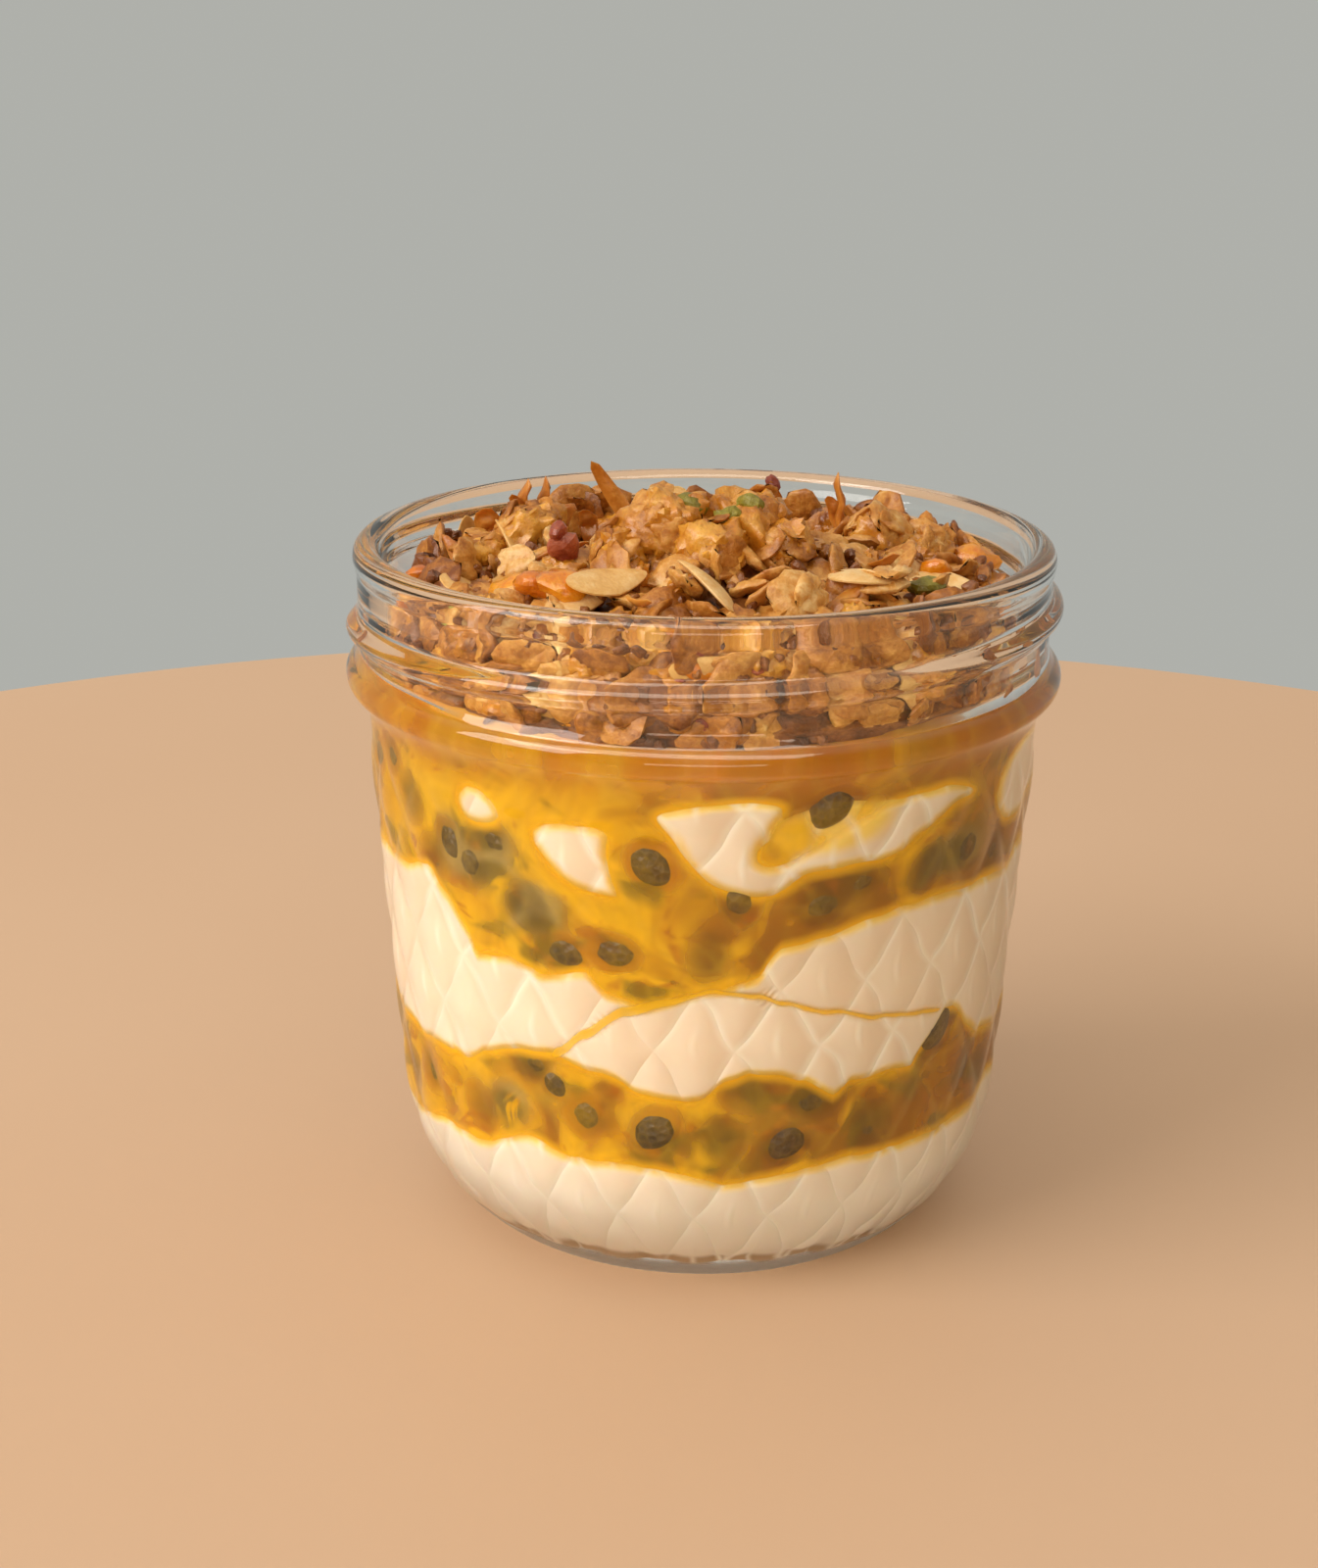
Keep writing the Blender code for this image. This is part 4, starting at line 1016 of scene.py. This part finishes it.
def overTop(count, tilt, lift, dice, margin=3.6, tones=(0.2, 0.9), size=(0.85, 1.1), reach=36.5):
    # spread over the heap along a sunflower spiral, then nudged
    start = dice.uniform(0, 360)
    for index in range(count):
        share = math.sqrt((index + 0.5) / count)
        place = atAzimuth(start + index * goldenAngle, share * reach * mm, 78 * mm)
        place.x += dice.uniform(-1.6, 1.6) * mm
        place.y += dice.uniform(-1.6, 1.6) * mm
        place = insideHeap(place, margin * mm)
        place.z = float(heapHeight(place.x, place.y)) + dice.uniform(*lift) * mm
        yield dice.randrange(100), placed(place, randomTurn(dice, tilt), dice.uniform(*size)), dice.uniform(*tones)


def roundSide(count, low, high, dice, tones=(0.2, 0.9), inward=1.6, size=(0.85, 1.1), tilt=0.45):
    # stood against the glass, more or less flat side out
    for index in range(count):
        azimuth = index * 360 / count * 7 + dice.uniform(-9, 9)
        height = dice.uniform(low, high) * mm
        radius = min(float(heapRadius(azimuth, height)) + 0.5 * mm, float(innerRadius(height)) - inward * mm)
        lean = Euler((dice.uniform(-tilt, tilt), dice.uniform(-tilt, tilt), dice.uniform(0, fullTurn)))
        turn = (Euler((math.radians(90), 0, 0)).to_matrix() @ lean.to_matrix()).to_euler()
        turn.rotate(Euler((0, 0, math.radians(azimuth))))
        shape, scale = dice.randrange(100), dice.uniform(*size)
        yield shape, placed(atAzimuth(azimuth, radius, height), turn, scale), dice.uniform(*tones)


def hero(x, y, z, turnX, turnY, turnZ, size=1.0, tone=0.6, shape=0):
    turn = Euler([math.radians(turned) for turned in (turnX, turnY, turnZ)])
    return shape, placed(Vector((x, y, z)) * mm, turn, size), tone


def heroes(*rows):
    return [hero(*row) for row in rows]


def coating(clusters, count, dice, size=(0.55, 0.95)):
    # flakes glued all over the clusters
    for x, y, z, girth in clusters:
        for _ in range(count):
            upward = Vector((dice.gauss(0, 1), dice.gauss(0, 1), dice.gauss(0.35, 0.8))).normalized()
            turn = upward.to_track_quat("Z", "X").to_matrix().to_4x4()
            turn = turn @ Matrix.Rotation(dice.uniform(0, fullTurn), 4, "Z")
            turn = turn @ Matrix.Rotation(dice.uniform(-0.5, 0.5), 4, "X")
            spot = Vector((x, y, z)) * mm + upward * (girth * dice.uniform(0.7, 1.0)) * mm
            scale = dice.uniform(*size)
            matrix = Matrix.Translation(spot) @ turn @ Matrix.Diagonal((scale, scale, scale, 1))
            yield dice.randrange(100), matrix, dice.uniform(0.2, 0.8)


def spike(foot, tip, tone, shape, breadth):
    # a strip standing between two points
    foot, tip = Vector(foot), Vector(tip)
    along = tip - foot
    turn = along.to_track_quat("X", "Y").to_matrix().to_4x4()
    long = along.length / (2 * stripLengths[shape])
    return shape, Matrix.Translation((foot + tip) / 2 * mm) @ turn @ Matrix.Diagonal((long, breadth, breadth, 1)), tone


def shards(first, size):
    return lambda index: shardShape(index + first, size)


def dressBits(name, shaper, count, places, kind, *finish, smooth=True):
    shapes = [shaper(index) for index in range(count)]
    dress(joinCopies(name, shapes, places, smooth), bakedMaterial(kind, *finish), "granola")


granolaCounts = {
    "seed": 21, "topOats": 165, "raisedOats": 42, "sideOats": 160, "lumps": 55, "sideLumps": 30, "almonds": 14,
    "sideAlmonds": 12, "strips": 24, "crumbs": 700, "pistachios": 12, "berries": 14, "apricots": 9,
}
# x, y, z and girth of the largest clusters, in millimetres
tallClusters = [
    (-4.0, -9, 85.3, 4.7), (5.2, -7, 85.0, 4.5), (0.5, -13, 82.6, 4.3), (8.5, -10.5, 82.8, 3.5), (-9.0, -11, 82.6, 3.5),
    (-20.5, 2, 81.6, 3.8), (30, 10, 76.0, 3.6), (20, 4, 80.6, 3.8), (-26, -1, 79.4, 3.4), (26, 6, 79.0, 3.6),
]
counts = granolaCounts
dice = random.Random(counts["seed"])

oats = list(overTop(counts["topOats"], 0.75, (-0.4, 0.8), dice, tones=(0.1, 1.0), size=(0.95, 1.3)))
oats += overTop(counts["raisedOats"], 1.4, (0.4, 1.5), dice, 4.4, tones=(0.3, 1.1), size=(0.9, 1.2), reach=32)
# painted shade: the flakes against the glass get darker tones than those on top
oats += roundSide(counts["sideOats"], 68.0, 79.0, dice, tones=(-0.15, 0.75), size=(0.9, 1.35), tilt=0.6)
oats += coating(tallClusters, 15, dice)
oats += heroes(
    (18.9, -18, 81.2, 8, -6, 20, 1.15, 1.0, 1), (20.6, -17, 82.2, -6, 8, 75, 1.0, 0.95, 2),
    (9.9, -24, 81.0, 55, 10, 30, 1.1, 0.95, 0), (11.6, -23, 81.4, 62, -15, 60, 1.0, 0.9, 2),
    (-2.4, -22, 82.0, 40, 20, 100, 1.0, 0.8, 1), (-27, -6, 80.6, 70, 10, 70, 1.0, 0.7, 0),
)
dressBits("oatFlakes", oatShape, 5, oats, "oat")

lumps = list(overTop(counts["lumps"], 1.5, (-1.2, 0.4), dice, 4.6, size=(1.4, 3.0)))
# painted shade: the clusters against the glass get darker tones
lumps += roundSide(counts["sideLumps"], 69.0, 78.0, dice, inward=4.2, size=(2.4, 4.0), tones=(0.0, 0.7))
lumps = [(shape, matrix @ Matrix.Scale(mm, 4), tone) for shape, matrix, tone in lumps]
lumps += [hero(x, y, z, 40 * index, 25 * index, 70 * index, girth * mm, 0.55 + 0.1 * (index % 3), index)
          for index, (x, y, z, girth) in enumerate(tallClusters)]
dressBits("honeyClusters", lumpShape, 5, lumps, "cluster", 0.34, 0.35, 500, 0.4)

almonds = list(overTop(counts["almonds"], 0.8, (0.4, 1.6), dice, 4.6, tones=(0.3, 1.0)))
# painted shade: the almonds against the glass get darker tones
almonds += roundSide(counts["sideAlmonds"], 71, 78, dice, tones=(0.0, 0.6))
almonds += heroes(
    (0.1, -22, 82.2, 30, -20, 125, 1.0, 0.9, 0), (-11, -20, 81.6, 20, 0, 35, 1.1, 0.55, 1),
    (17.5, -18.5, 82.0, 5, 5, 5, 0.95, 0.9, 2),
)
dressBits("almondSlices", almondShape, 3, almonds, "almond", 0.4, 0.1, 900, 0.15)

strips = list(overTop(counts["strips"], 0.8, (0.2, 1.2), dice, 5.0, tones=(0.15, 0.85), size=(0.7, 1.0), reach=33))
# foot, tip, tone, shape and breadth
strips += [spike(*row) for row in (
    ((-21.8, 6, 81.0), (-21.2, 5, 88.0), 0.35, 0, 0.95), ((-19.6, 7, 81.0), (-18.9, 6, 88.1), 0.25, 1, 0.9),
    ((-18.5, 4, 81.5), (-15.2, 5, 85.0), 0.3, 2, 0.9), ((-7.2, 12, 78.5), (-13.4, 13, 88.9), 0.65, 3, 0.75),
    ((16.6, 8, 80.5), (16.3, 9, 88.3), 0.45, 1, 0.9), ((17.6, 7, 80.5), (20.6, 8, 84.6), 0.4, 0, 1.0),
    ((-20.8, 5, 80.5), (-22.6, 5, 86.4), 0.3, 2, 0.8), ((17.2, 9, 80.0), (15.0, 9, 85.6), 0.3, 2, 0.8),
    ((8.6, 13, 78.0), (8.4, 13, 86.6), 0.1, 2, 1.0), ((-31.4, 3, 76.5), (-32.0, 2, 80.9), 0.3, 1, 1.0),
    ((-24.5, 4, 80.0), (-26.0, 4, 85.0), 0.45, 3, 1.2), ((-13.4, 8, 79.5), (-14.2, 8, 84.0), 0.1, 2, 1.0),
)]
dressBits("coconutStrips", stripShape, 4, strips, "coconut", 0.38, 0.2, 700, 0.15, 0.15)

crumbs = list(overTop(counts["crumbs"], 3, (-0.2, 1.2), dice, 1.6, size=(0.4, 1.2)))
# painted shade: the crumbs against the glass get darker tones
crumbs += roundSide(counts["crumbs"] // 3, 66.9, 80.0, dice, tones=(0.0, 0.8), inward=1.2, size=(0.5, 1.3), tilt=3)
dressBits("crumbs", shards(0, 1.0), 3, crumbs, "crumbAndGapShade", smooth=False)

pistachios = list(overTop(counts["pistachios"], 1.5, (0.2, 1.0), dice, 3.0, size=(0.5, 0.9)))
pistachios += roundSide(6, 70, 79, dice, inward=2.0, size=(0.6, 1.0), tilt=2)
pistachios += heroes(
    (-1.7, -10, 88.0, 20, 10, 0, 1.25, 0.5, 0), (5.0, -9.5, 88.0, 0, 30, 60, 1.35, 0.75, 1),
    (24.8, -15, 80.0, 0, 0, 30, 1.3, 0.4, 2), (2.4, -12, 87.2, 50, 0, 10, 0.9, 0.8, 2),
)
dressBits("pistachioBits", shards(5, 1.6), 3, pistachios, "pistachio", 0.45, 0.1, smooth=False)

berries = list(overTop(counts["berries"], 2, (0.0, 1.0), dice, 3.0, size=(0.5, 0.9)))
berries += roundSide(7, 69.5, 79, dice, inward=2.0, size=(0.6, 1.0), tilt=2)
berries += heroes(
    (-16.4, -10, 83.0, 80, 10, 10, 1.35, 0.85, 0), (-16.8, -10.2, 84.9, 85, 0, 70, 1.0, 0.6, 1),
    (8.4, 13.0, 86.0, 0, 80, 0, 0.8, 0.4, 2),
)
dressBits("berryBits", shards(9, 1.6), 3, berries, "berry", 0.35, 0.3, smooth=False)

apricots = list(overTop(counts["apricots"], 1, (0.2, 1.0), dice, 4.0, size=(0.7, 1.0)))
apricots += roundSide(5, 70, 79, dice, inward=2.6, size=(0.6, 0.9), tilt=2)
apricots += heroes(
    (-15.8, -20, 81.0, 10, 20, 10, 1.0, 0.7, 0), (-18.5, -17.5, 80.6, 0, 10, 60, 0.9, 0.5, 1),
    (32.2, 6, 77.8, 0, 0, 0, 1.15, 0.8, 2), (1.5, -30.0, 74.0, 80, 0, 0, 0.9, 0.75, 0),
)
dressBits("apricotBits", shards(14, 3.0), 3, apricots, "apricot", 0.22, 0.5)


# floor, light and camera
floorLook = {"colour": (0.61, 0.41, 0.26), "radius": 0.26}
roomLook = {"wall": (0.43, 0.435, 0.405), "warm": (0.46, 0.34, 0.20), "ceiling": (1.05, 0.95, 0.83), "strength": 1.0}
lamps = [
    # name, place, aimed at, width, height, watts, colour
    ("windowLeft", (-1.2, -0.6, 0.92), (0, 0, 0.04), 1.1, 0.8, 17.0, (1.0, 0.94, 0.90)),
    ("lowFront", (0.0, -0.8, 0.07), (0, 0, 0.012), 0.5, 0.14, 0.85, (1.0, 0.88, 0.74)),
    ("shineAbove", (-0.25, -0.75, 1.15), (0, 0, 0.08), 2.2, 0.6, 20.0, (1.0, 0.94, 0.80)),
]


def makeFloor():
    deselectAll()
    bpy.ops.mesh.primitive_circle_add(vertices=128, radius=floorLook["radius"], fill_type="NGON", location=(0, 0, 0))
    floor = bpy.context.object
    floor.name = "paleFloor"
    recipe = Recipe("paleTop")
    base = recipe.blend(recipe.grain(9, 2).ramp(0.2, 0.8) * 0.1, floorLook["colour"], (0.72, 0.54, 0.38))
    floor.data.materials.append(recipe.finish(base, 0.6))


def makeLights():
    look = roomLook
    room = Recipe("softRoom", "worlds")
    x, y, z = room.axes("Generated")
    walls = room.blend(y.ramp(-0.2, 0.5, "LINEAR"), look["warm"], look["wall"])
    colour = room.blend(z.ramp(0.45, 0.85, "LINEAR"), walls, look["ceiling"])
    glow = room.node("Background", None, {"Color": colour, "Strength": look["strength"]})
    room.node("OutputWorld", None, {"Surface": glow})
    bpy.context.scene.world = room.material
    for name, place, aim, width, height, watts, colour in lamps:
        lamp = bpy.data.lights.new(name, "AREA")
        lamp.shape, lamp.size, lamp.size_y = "RECTANGLE", width, height
        lamp.energy, lamp.color = watts, colour
        holder = bpy.data.objects.new(name, lamp)
        holder.location = place
        holder.rotation_euler = (Vector(aim) - Vector(place)).to_track_quat("-Z", "Y").to_euler()
        if name.startswith("shine"):
            # it shows only as a highlight, and lights nothing
            holder.visible_diffuse = holder.visible_transmission = False
        bpy.context.scene.collection.objects.link(holder)


cameraPlace = {"place": (-0.005123, -0.292659, 0.147620), "down": 18.14, "roll": 0.33, "lens": 58.4775}


def makeCamera():
    lens = bpy.data.cameras.new("photoView")
    lens.lens, lens.sensor_width, lens.clip_start = cameraPlace["lens"], 36, 0.01
    camera = bpy.data.objects.new("photoView", lens)
    level = Euler((math.radians(90 - cameraPlace["down"]), 0, 0)).to_matrix()
    rolled = level @ Euler((0, 0, math.radians(cameraPlace["roll"]))).to_matrix()
    camera.matrix_world = Matrix.Translation(cameraPlace["place"]) @ rolled.to_4x4()
    bpy.context.scene.collection.objects.link(camera)
    bpy.context.scene.camera = camera


makeFloor()
makeLights()
makeCamera()
bpy.context.scene.view_settings.view_transform = "Standard"

deselectAll()
